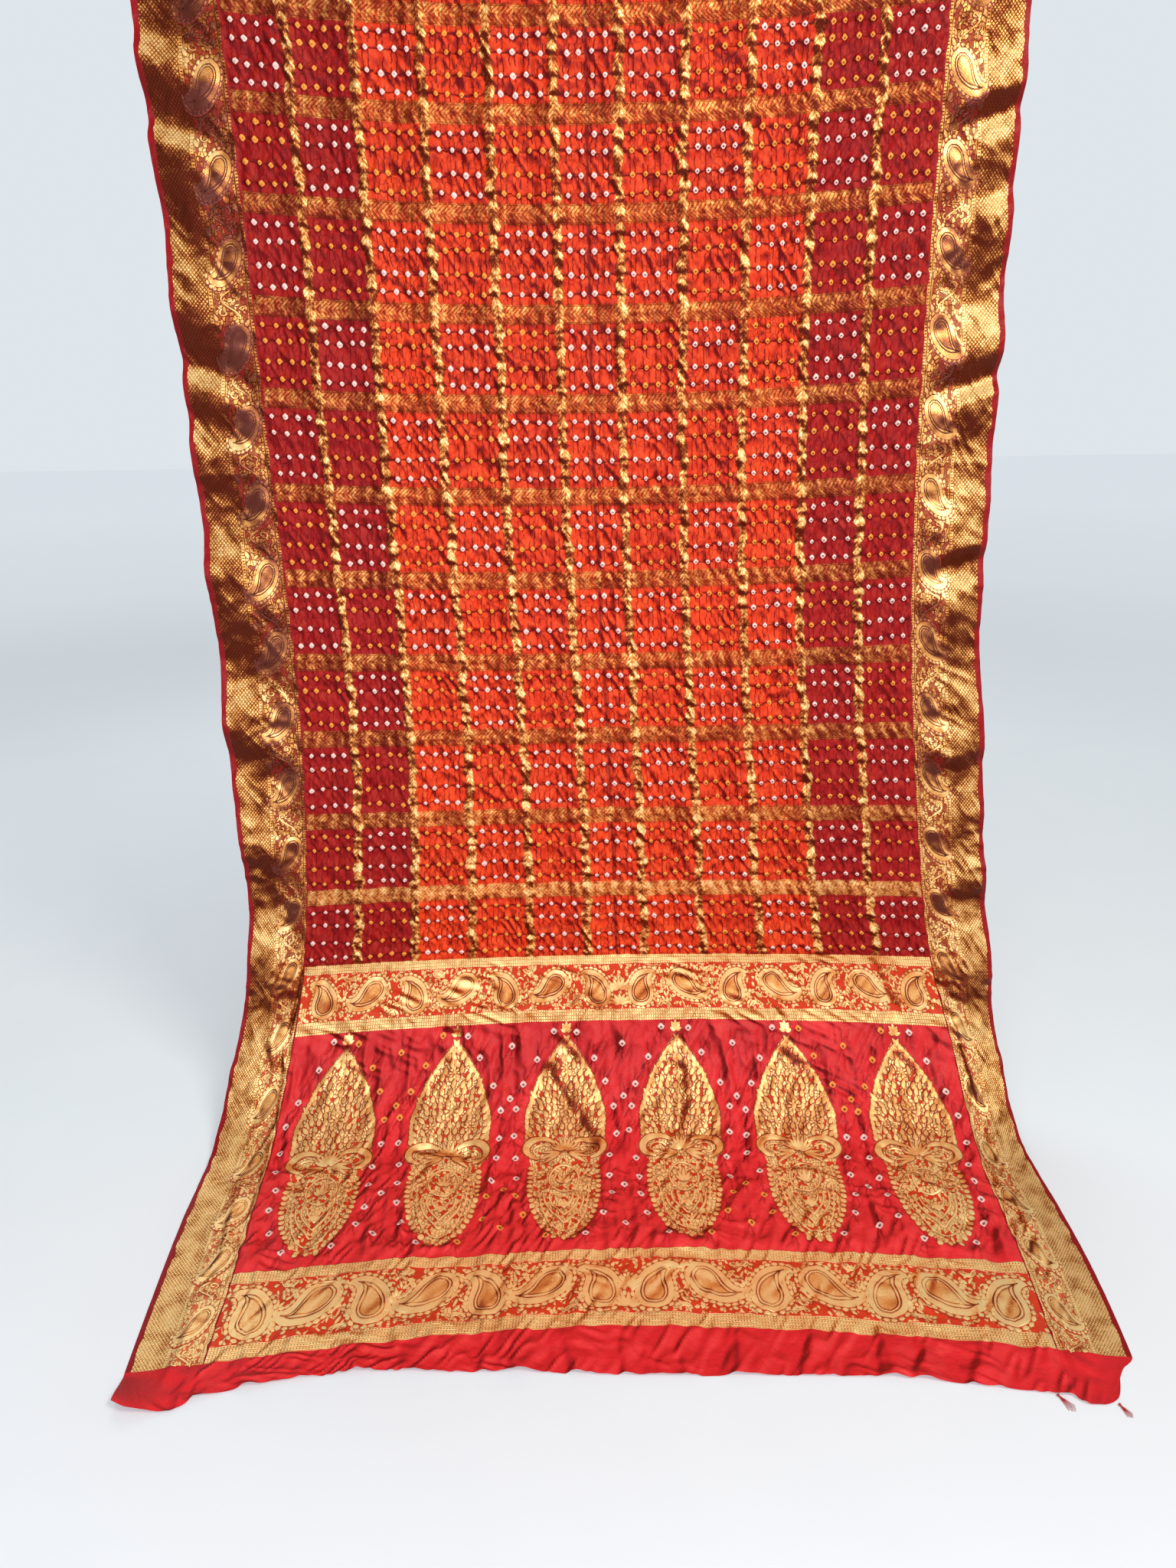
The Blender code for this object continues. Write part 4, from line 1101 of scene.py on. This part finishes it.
def copies(drawing, places):
    # the drawing at each (x, y, turn, scaleX, scaleY)
    parts = []
    for x, y, turn, scaleX, scaleY in places:
        p = drawing["points"] * np.array((scaleX, scaleY, 1))
        c, n = math.cos(turn), math.sin(turn)
        moved = np.stack([x + p[:, 0] * c - p[:, 1] * n, y + p[:, 0] * n + p[:, 1] * c, p[:, 2]], axis=-1)
        quads = drawing["quads"] if scaleX * scaleY > 0 else drawing["quads"][:, ::-1]
        parts.append({"points": moved, "quads": quads, "edge": drawing["edge"]})
    return joinDrawings(parts)


def scroll(x, y, start, turns, radius, width, count=22):
    # a spiral ribbon that winds in from radius to nothing
    s = np.linspace(0, 1, count)
    angle = start + turns * 2 * math.pi * s
    reach = radius * (1 - 0.82 * s)
    return ribbon(x + reach * np.cos(angle), y + reach * np.sin(angle), width * (1 - 0.35 * s))


def rosette(x, y, radius, count=8):
    angle = np.arange(count) * 2 * math.pi / count
    leaves = petals(x + 0.25 * radius * np.cos(angle), y + 0.25 * radius * np.sin(angle), angle,
                    radius * 0.75, radius * 0.52, blunt=1.2)
    return joinDrawings([leaves, petals(x - radius * 0.2, y, 0.0, radius * 0.4, radius * 0.4, blunt=1.0)])


def paisleySpine(share):
    # a line one unit long that rises and hooks over: its heading from upright is 2.1 share^2.6
    s = np.linspace(0, 1, 60)
    heading = 2.1 * s ** 2.6
    x, y = np.cumsum(np.sin(heading)) / 60, np.cumsum(np.cos(heading)) / 60
    return np.interp(share, s, x), np.interp(share, s, y)


def paisleyShape(inset, count):
    # half width 0.26 sin(pi share^0.60)^0.75 along the spine, drawn in by inset at the sides and the ends
    t = np.linspace(0, 1, count)
    share = inset + (1 - 2.6 * inset) * t
    x, y = paisleySpine(share)
    half = np.maximum(0.26 * np.sin(math.pi * t ** 0.60) ** 0.75 - inset * np.sin(math.pi * t) ** 0.3, 0)
    return x - 0.08, y - 0.46, half


def paisleyOutline(inset, count):
    # round the shape once: up one side and back down the other
    x, y, half = paisleyShape(inset, count)
    dx, dy = np.gradient(x), np.gradient(y)
    size = np.hypot(dx, dy)
    rightX, rightY = x + dy / size * half, y - dx / size * half
    leftX, leftY = x - dy / size * half, y + dx / size * half
    return np.concatenate([leftX, rightX[::-1]]), np.concatenate([leftY, rightY[::-1]])


def paisley(height):
    # a solid gold body in a scalloped rim, two thin dark lines and a netted heart
    k = height * 1.04
    x, y, half = paisleyShape(0.0, 22)
    around = 2 * (half + 0.085) * np.minimum(1, half / 0.04)
    parts = [
        ribbon(x * k, y * k, around * k, 0.0, edge=0.0, columns=11, base=-0.0004),
        ribbon(x * k, y * k, 2.06 * half * k, 0.0003, edge=1.0, columns=9, base=0.0002),
    ]
    x, y = paisleyOutline(0.0, 40)
    run = np.concatenate([[0], np.cumsum(np.hypot(np.diff(x), np.diff(y)))])
    places = np.linspace(0, run[-1], 27)[:-1]
    heading = np.interp(places, run, np.unwrap(np.arctan2(np.gradient(y), np.gradient(x)))) + math.pi / 2
    parts.append(petals(np.interp(places, run, x) * k, np.interp(places, run, y) * k, heading,
                        0.078 * k, 0.125 * k, blunt=1.0, steps=4))
    for inset in (0.085, 0.130):
        x, y = paisleyOutline(inset, 24)
        parts.append(ribbon(x * k, y * k, 0.0018, 0.0006, edge=0.13, base=0.0006))
    x, y, half = paisleyShape(0.130, 16)
    parts.append(ribbon(x * k, y * k, 2 * half * k, 0.0003, edge=0.30, columns=5, base=0.0005))
    return joinDrawings(parts)


def fillers(width, height):
    # what stands between two paisleys: a tail of leaves, two scrolls, buds and a fan
    s = np.linspace(0, 1, 7)
    tailX, tailY = 0.16 * width * np.sin(s * 5.0), (0.40 - 0.78 * s) * height
    parts = [
        petals(tailX, tailY, -1.1 + 0.5 * np.cos(s * 6), 0.20 * height, 0.085 * height, bend=0.25, steps=5),
        petals(tailX - 0.02 * width, tailY, -2.2 + 0.4 * np.sin(s * 6), 0.17 * height, 0.080 * height,
               bend=-0.25, steps=5),
        scroll(-0.26 * width, 0.22 * height, 0.5, 1.0, 0.13 * width, 0.0030, 16),
        scroll(0.28 * width, -0.16 * height, 3.6, 1.0, 0.14 * width, 0.0030, 16),
        petals(0.30 * width, 0.26 * height, np.linspace(0.2, 5.4, 6), 0.10 * height, 0.070 * height,
               steps=4),
        petals(-0.30 * width, -0.24 * height, np.linspace(0.6, 5.8, 6), 0.10 * height, 0.070 * height,
               steps=4),
        petals((-0.10 * width, 0.12 * width, -0.34 * width, 0.38 * width),
               (-0.44 * height, 0.45 * height, 0.44 * height, -0.42 * height),
               (2.4, 5.4, 0.3, 3.4), 0.15 * height, 0.075 * height, steps=5),
    ]
    return joinDrawings(parts)


def halfWreath(radius, up):
    # two arcs with a row of beads between them
    a = np.linspace(0.15, math.pi - 0.15, 14) * up
    beads = np.linspace(0.3, math.pi - 0.3, 7) * up
    return joinDrawings([
        ribbon(radius * np.cos(a), radius * np.sin(a), 0.0024),
        ribbon(radius * 0.55 * np.cos(a), radius * 0.55 * np.sin(a), 0.0020),
        petals(radius * 0.78 * np.cos(beads) - 0.0013, radius * 0.78 * np.sin(beads), 0.0, 0.0027, 0.0027,
               blunt=1.0, steps=4),
    ])


def paisleyBand(low, high):
    # seven paisleys each side of a middle sprig, by turns upright and turned over, mirrored about
    # the middle
    height, half = high - low, cloth["endHalfWidth"]
    pitch = 2 * half / endParts["paisleys"]
    one, between = paisley(height * 0.98), fillers(pitch, height)
    middle = -(low + high) / 2
    places, gaps, wreaths = [], [], []
    for k in range(endParts["paisleys"] // 2):
        x = (k + 0.54) * pitch
        turned = k % 2 == 0
        for side in (-1, 1):
            if turned:
                places.append((side * (x - 0.02 * pitch), middle, side * 0.14, side, 1.0))
            else:
                places.append((side * x, middle, side * 0.52, side, -1.06))
            gaps.append((side * (x + 0.46 * pitch), middle, 0, side * 0.62, 0.92 if turned else -0.92))
            wreaths.append((side * (x + 0.42 * pitch), middle - (0.47 if turned else -0.47) * height, 0, 1,
                            1 if turned else -1))

    def inside(spots, room):
        return [spot for spot in spots if abs(spot[0]) < half - room]

    parts = [copies(one, inside(places, 0.026)), copies(between, inside(gaps, 0.012)),
             copies(halfWreath(0.0100, 1), inside(wreaths, 0.012))]
    sprig = np.array((0.35, 0.75, 1.15, 1.57, 1.99, 2.39, 2.79))
    parts.append(petals(0, middle - 0.42 * height, sprig, 0.30 * height, 0.0075))
    parts.append(petals(0, middle - 0.08 * height, sprig, 0.32 * height, 0.0080))
    parts.append(rosette(0, middle + 0.12 * height, 0.0095))
    return joinDrawings(parts)


def coneMotif():
    # a tall cone: a sprig, a lobe full of leaves, two volutes and a lower lobe of nested arches
    tall, wide = endParts["coneFoot"] - endParts["coneTip"], endParts["coneHalfWidth"]
    parts = []

    # the upper lobe: leaves laid along its outline, then rows of leaves that fan out from a middle stem
    for side in (-1, 1):
        h = np.linspace(0.535, 0.915, 19)
        x = side * (coneShape(h) * wide - 0.0050)
        run = np.gradient(coneShape(h) * wide) / (np.gradient(h) * tall)
        heading = math.pi / 2 - side * (np.arctan(run) + 0.30)
        parts.append(petals(x, h * tall - 0.006, heading, 0.0175, 0.0094, bend=side * 0.14, steps=5,
                            point=1.15))
    random = np.random.RandomState(3)
    for number, h in enumerate(np.arange(0.548, 0.90, 0.0265)):
        room = coneShape(h) * wide - 0.0125
        if room < 0.003:
            continue
        count = 2 * int(room / 0.0104) + 1 + number % 2
        x = np.linspace(-room, room, count) if count > 1 else np.zeros(1)
        x = x + random.uniform(-0.0012, 0.0012, count)
        heading = math.pi / 2 - 1.10 * x / wide + random.uniform(-0.35, 0.35, count)
        length = 0.0170 * random.uniform(0.85, 1.2, count)
        bend = 0.16 * np.sign(x)
        parts.append(petals(x, h * tall - 0.007, heading, length, 0.0100, bend, steps=5, point=1.2))
    blooms = ((0, 0.655, 0.0120), (-0.0285, 0.590, 0.0095), (0.0285, 0.590, 0.0095), (0, 0.805, 0.0090))
    for x, h, size in blooms:
        lifted = rosette(x, h * tall, size)
        lifted["points"][:, 2] += 0.0009
        parts.append(lifted)
    stem = np.linspace(0.52, 0.92, 20)
    parts.append(ribbon(0.0016 * np.sin(stem * 26), stem * tall, 0.0022, 0.0014))

    # the sprig above the tip
    parts.append(petals(0, 0.945 * tall, (0.5, 1.05, math.pi / 2, 2.10, 2.65),
                        (0.011, 0.014, 0.020, 0.014, 0.011), 0.0078))
    parts.append(petals(0, 0.962 * tall, (0.8, 2.35), 0.011, 0.0064))

    # two volutes that curl out and down from the stem, and a fan of long petals between them
    for side in (-1, 1):
        s = np.linspace(0, 1, 24)
        angle = math.pi / 2 + side * (0.95 - 3.9 * s)
        x = side * 0.0330 + 0.0240 * np.cos(angle) * (1 - 0.12 * s)
        y = 0.478 * tall + 0.0175 * np.sin(angle)
        parts.append(ribbon(x, y, 0.0125 * np.sin(math.pi * (0.10 + 0.80 * s)) + 0.0015, 0.0014))
        parts.append(ribbon(side * 0.0320 + 0.0125 * np.cos(angle), 0.474 * tall + 0.0085 * np.sin(angle),
                            0.0036, 0.0012))
        parts.append(petals(side * 0.004, 0.452 * tall, math.pi / 2 - side * np.array((1.2, 1.55, 1.9)),
                            (0.030, 0.034, 0.036), 0.0080, bend=-side * 0.25))
    fan = np.linspace(0.42, math.pi - 0.42, 9)
    parts.append(petals(0, 0.462 * tall, fan, 0.020 + 0.012 * np.sin(fan), 0.0066, crown=0.0014))

    # the lower lobe: a rim of round petals, a row of leaves inside it, two pointed arches and a medallion
    h = np.linspace(0.385, 0.035, 15)
    for side in (-1, 1):
        x = side * (coneShape(h) * wide - 0.0082)
        turn = math.pi / 2 * np.linspace(1, 0.12, 15)
        parts.append(petals(x, h * tall, -math.pi / 2 + side * turn, 0.0108, 0.0104, blunt=1.05, steps=5))
    parts.append(petals((-0.010, 0, 0.010), 0.020 * tall, (-2.2, -math.pi / 2, -0.95), 0.0104, 0.0100,
                        blunt=1.05, steps=5))
    s = np.linspace(-1, 1, 30)
    parts.append(ribbon(0.80 * wide * 0.72 * np.sin(s * 1.5),
                        tall * (0.36 - 0.315 * np.abs(np.cos(s * 1.5)) ** 0.8), 0.0030))
    for side in (-1, 1):
        h = np.linspace(0.375, 0.085, 12)
        x = side * (coneShape(h) * wide - 0.0200)
        parts.append(petals(x, h * tall, -math.pi / 2 + side * np.linspace(1.2, 0.25, 12), 0.0100, 0.0082,
                            steps=5))
    for shrink in (1.0, 0.72, 0.44):
        x = shrink * 0.0270 * np.sin(s * math.pi / 2) * (1 - 0.25 * np.cos(s * math.pi / 2) ** 2)
        y = tall * (0.235 - shrink * 0.150 * (1 - np.abs(s)) ** 0.75)
        parts.append(ribbon(x, y, 0.0034, 0.0012))
    parts.append(petals(0, 0.205 * tall, (-2.2, -math.pi / 2, -0.94), 0.016, 0.0070, crown=0.0014))
    ring = np.linspace(0, 2 * math.pi, 30)
    parts.append(ribbon(0.0205 * np.cos(ring), 0.325 * tall + 0.0275 * np.sin(ring), 0.0036, 0.0014))
    parts.append(petals(0, 0.300 * tall, (0.75, 1.16, math.pi / 2, 1.98, 2.39),
                        (0.018, 0.024, 0.030, 0.024, 0.018), 0.0068, crown=0.0014))
    parts.append(petals((-0.010, 0, 0.010), (0.285 * tall, 0.275 * tall, 0.285 * tall), (3.9, 4.71, 5.5),
                        0.012, 0.0070))
    parts.append(petals((-0.006, 0.006), 0.362 * tall, (2.5, 0.64), 0.011, 0.0060))
    for side in (-1, 1):
        parts.append(petals(side * 0.0265, (0.385 * tall, 0.345 * tall, 0.305 * tall, 0.265 * tall),
                            math.pi / 2 - side * 0.7, 0.0115, 0.0072, bend=side * 0.2, steps=5))
    return joinDrawings(parts)


def vine(side):
    # slanted paisleys down a border, point down, each with curls of stem, leaves and buds before the next
    pitch, width = 0.0945, 0.038
    one, between = paisley(0.066), fillers(0.050, width)
    s = np.linspace(0, 1, 24)
    parts = []
    for k in range(int(cloth["plainEnd"][0] / pitch) + 1):
        y = -(0.004 + k * pitch)
        if y - 0.080 < -cloth["plainEnd"][0]:
            break
        parts.append(copies(one, [(0.002 * side, y - 0.034, 0.30 * side, side * 0.74, -1.05)]))
        parts.append(ribbon(0.011 * side * np.sin(s * math.pi * 1.6), y - 0.062 - 0.032 * s, 0.0026))
        parts.append(copies(between, [(0, y - 0.078, 0.5 * math.pi, 0.72, 0.95)]))
        parts.append(petals((-0.016, 0.016, -0.016, 0.016), (y - 0.004, y - 0.060, y - 0.050, y - 0.008),
                            (2.0, 5.1, 4.4, 1.1), 0.012, 0.0062, steps=5))
    return joinDrawings(parts)


def layMotif(name, grid, drawing, toCloth, material, lift=0.0009):
    # carries a drawing onto the cloth: its x and y become across and along, its height stands off the weave
    across, along = toCloth(drawing["points"][:, 0], drawing["points"][:, 1])
    column = np.interp(across, grid["across"], np.arange(len(grid["across"])))
    row = np.interp(along, grid["along"], np.arange(len(grid["along"])))
    c = np.minimum(column.astype(int), len(grid["across"]) - 2)
    r = np.minimum(row.astype(int), len(grid["along"]) - 2)
    s, t = column - c, row - r

    def read(values):
        shape = (-1,) + (1,) * (values.ndim - 2)
        u, v = s.reshape(shape), t.reshape(shape)
        near = values[r, c] * (1 - u) + values[r, c + 1] * u
        return near * (1 - v) + (values[r + 1, c] * (1 - u) + values[r + 1, c + 1] * u) * v

    normals = read(grid["normals"])
    points = read(grid["points"]) + normals * (lift + drawing["points"][:, 2:3])
    mesh = fillMesh(name, points, drawing["quads"][:, ::-1])
    corners = drawing["quads"][:, ::-1].ravel()
    addMap(mesh, "weave", drawing["points"][corners, 0], drawing["points"][corners, 1])
    addNumber(mesh, "paintedShading", read(grid["paintedShading"]))
    addNumber(mesh, "goldLevel", read(grid["goldLevel"]))
    addNumber(mesh, "edge", drawing["edge"])
    return linkObject(name, mesh, material)


def dressPiece(piece):
    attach(piece, "root")
    return piece


# Making


def makeCloth():
    grid = shapeCloth()
    field, border, end = makeField(), makeBorder(), makeEnd()
    endGold, borderGold = makeZari("wovenZari", "redBrown", 1.6), makeZari("borderZari", "brown", 1.8)
    lastRow, lastColumn = len(grid["along"]) - 1, len(grid["across"]) - 1
    left, right = grid["borderCells"], grid["borderCells"] + grid["fieldCells"]
    split = int(np.argmin(np.abs(grid["along"] - cloth["splitAt"])))
    tied = grid["tiedRows"]
    made = {}
    for name, rows, columns, material, dress in (
            ("clothFieldUpper", (0, split), (left, right), field, dressField),
            ("clothFieldLower", (split, tied), (left, right), field, dressField),
            ("clothBorderLeft", (0, lastRow), (0, left), border, dressBorder),
            ("clothBorderRight", (0, lastRow), (right, lastColumn), border, dressBorder),
            ("clothEnd", (tied, lastRow), (left, right), end, dressEnd)):
        piece, made[name] = slicePiece(name, grid, rows, columns, material)
        dress(piece)
        dressPiece(made[name])
        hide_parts("cloth")
    print("cloth pieces made")

    half = cloth["endHalfWidth"]
    onEnd = lambda x, y: (x / half, -y)
    conePitch = 2 * half / endParts["cones"]
    cones = copies(coneMotif(), [((k + 0.5) * conePitch - half, -endParts["coneFoot"], 0, 1, 1)
                                 for k in range(endParts["cones"])])
    motifs = {
        "coneMotifs": (cones, onEnd, "clothEnd"),
        "paisleysUpper": (paisleyBand(*endParts["upperPaisleys"]), onEnd, "clothEnd"),
        "paisleysLower": (paisleyBand(*endParts["lowerPaisleys"]), onEnd, "clothEnd"),
        "vineLeft": (vine(-1), lambda x, y: (-2 + (0.072 + x) / cloth["borderWidth"], -y),
                     "clothBorderLeft"),
        "vineRight": (vine(1), lambda x, y: (2 - (0.072 - x) / cloth["borderWidth"], -y),
                      "clothBorderRight"),
    }
    carried = {name: [] for name in made}
    for name, (drawing, toCloth, carrier) in motifs.items():
        motif = layMotif(name, grid, drawing, toCloth, endGold if carrier == "clothEnd" else borderGold)
        carried[carrier].append(dressPiece(motif))
        print(f"{name}: {2 * len(drawing['quads'])} triangles")
    return grid


def makeTufts():
    # the loose threads keep their solids and get a fibrous red finish
    material, tree, shader = startMaterial("looseSilkThread")
    place = addNode(tree, "TexCoord", output="Object")
    fibre = addNode(tree, "TexNoise", {"Vector": place, "Scale": 900.0, "Detail": 2.0})
    colour = addNode(tree, "Mix", {0: fibre, 6: hexColour("#7A1013"), 7: hexColour("#C02A26")}, 2,
                     data_type="RGBA")
    tree.links.new(colour, shader.inputs["Base Color"])
    shader.inputs["Roughness"].default_value = 0.7
    for name in ("thread_tuft_1", "thread_tuft_2"):
        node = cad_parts[name]
        node.data.materials.clear()
        node.data.materials.append(material)


def makeStage():
    # a plain pale floor
    size = 14.0
    points = np.array(((-size, -size, 0), (size, -size, 0), (size, size, 0), (-size, size, 0)))
    points[:, 2] = cadLow.z - 0.0004
    floor = fillMesh("floor", points, np.array(((0, 1, 2, 3),)))
    material, tree, shader = startMaterial("palePaintedFloor")
    place = addNode(tree, "TexCoord", output="Object")
    speck = addNode(tree, "TexNoise", {"Vector": place, "Scale": 6.0, "Detail": 3.0})
    colour = addNode(tree, "Mix", {0: speck, 6: hexColour("#C6CCD0"), 7: hexColour("#CCD1D4")}, 2,
                     data_type="RGBA")
    tree.links.new(colour, shader.inputs["Base Color"])
    shader.inputs["Roughness"].default_value = 0.9
    # far off the floor glows a little, so that it meets the background without a line
    far = addNode(tree, "VectorMath", {0: place}, "Value", operation="LENGTH")
    glow = addNode(tree, "ValToRGB", {"Fac": addNode(tree, "Math", {0: far, 1: 10.0}, operation="DIVIDE")})
    stops = glow.node.color_ramp.elements
    stops[0].position, stops[0].color = 0.03, (0, 0, 0, 1)
    stops[1].position, stops[1].color = 0.95, (0.68, 0.68, 0.68, 1)
    stops.new(0.14).color = (0.22, 0.22, 0.22, 1)
    stops.new(0.28).color = (0.42, 0.42, 0.42, 1)
    stops.new(0.55).color = (0.61, 0.61, 0.61, 1)
    tree.links.new(glow, shader.inputs["Emission Strength"])
    shader.inputs["Emission Color"].default_value = hexColour(studio["seen"])
    linkObject("floor", floor, material)


camera = {"lens": 27.04, "place": (-0.005, -1.575, 1.071 - 1.600), "pitch": 19.19, "roll": 0.9}
lights = {
    "key": {"place": (1.15, -1.8, 0.9), "aim": (0.0, 0.0, -0.80), "size": 0.9, "power": 50.0,
            "tone": "#FFF6EA"},
    "fill": {"place": (-0.10, -2.1, -0.55), "aim": (0.0, 0.0, -1.05), "size": 1.3, "power": 30.0,
             "tone": "#F8F8FF"},
    "back": {"place": (-0.5, 1.9, 0.6), "aim": (0.0, 0.0, -0.9), "size": 1.8, "power": 26.0,
             "tone": "#FFFFFF"},
}
studio = {"seen": "#DFE6EB", "seenStrength": 1.0, "lightStrength": 0.42}


def makeCamera():
    # turned so that the picture's right side is carried up by the roll
    data = bpy.data.cameras.new("camera")
    data.lens, data.sensor_width = camera["lens"], 36.0
    made = bpy.data.objects.new("camera", data)
    bpy.context.scene.collection.objects.link(made)
    pitch, roll = math.radians(camera["pitch"]), math.radians(camera["roll"])
    turned = Matrix.Rotation(math.pi / 2 - pitch, 4, "X") @ Matrix.Rotation(-roll, 4, "Z")
    made.matrix_world = Matrix.Translation(camera["place"]) @ turned
    bpy.context.scene.camera = made


def makeLights():
    for name, values in lights.items():
        data = bpy.data.lights.new(name, "AREA")
        data.shape, data.size, data.energy = "SQUARE", values["size"], values["power"]
        data.color = hexColour(values["tone"])[:3]
        made = bpy.data.objects.new(name, data)
        bpy.context.scene.collection.objects.link(made)
        away = np.array(values["place"]) - np.array(values["aim"])
        yaw = math.atan2(away[0], -away[1])
        tilt = math.atan2(math.hypot(away[0], away[1]), away[2])
        made.matrix_world = (Matrix.Translation(values["place"]) @ Matrix.Rotation(yaw, 4, "Z")
                             @ Matrix.Rotation(tilt, 4, "X"))
    world = bpy.data.worlds.new("studio")
    world.use_nodes = True
    tree = world.node_tree
    seen = addNode(tree, "LightPath")
    strength = addNode(tree, "Mix", {0: seen, 2: studio["lightStrength"], 3: studio["seenStrength"]})
    tree.links.new(strength, tree.nodes["Background"].inputs["Strength"])
    tree.nodes["Background"].inputs["Color"].default_value = hexColour(studio["seen"])
    bpy.context.scene.world = world
    bpy.context.scene.view_settings.view_transform = "Standard"


makeCamera()
makeLights()
makeStage()
makeCloth()
makeTufts()
print("scene made")
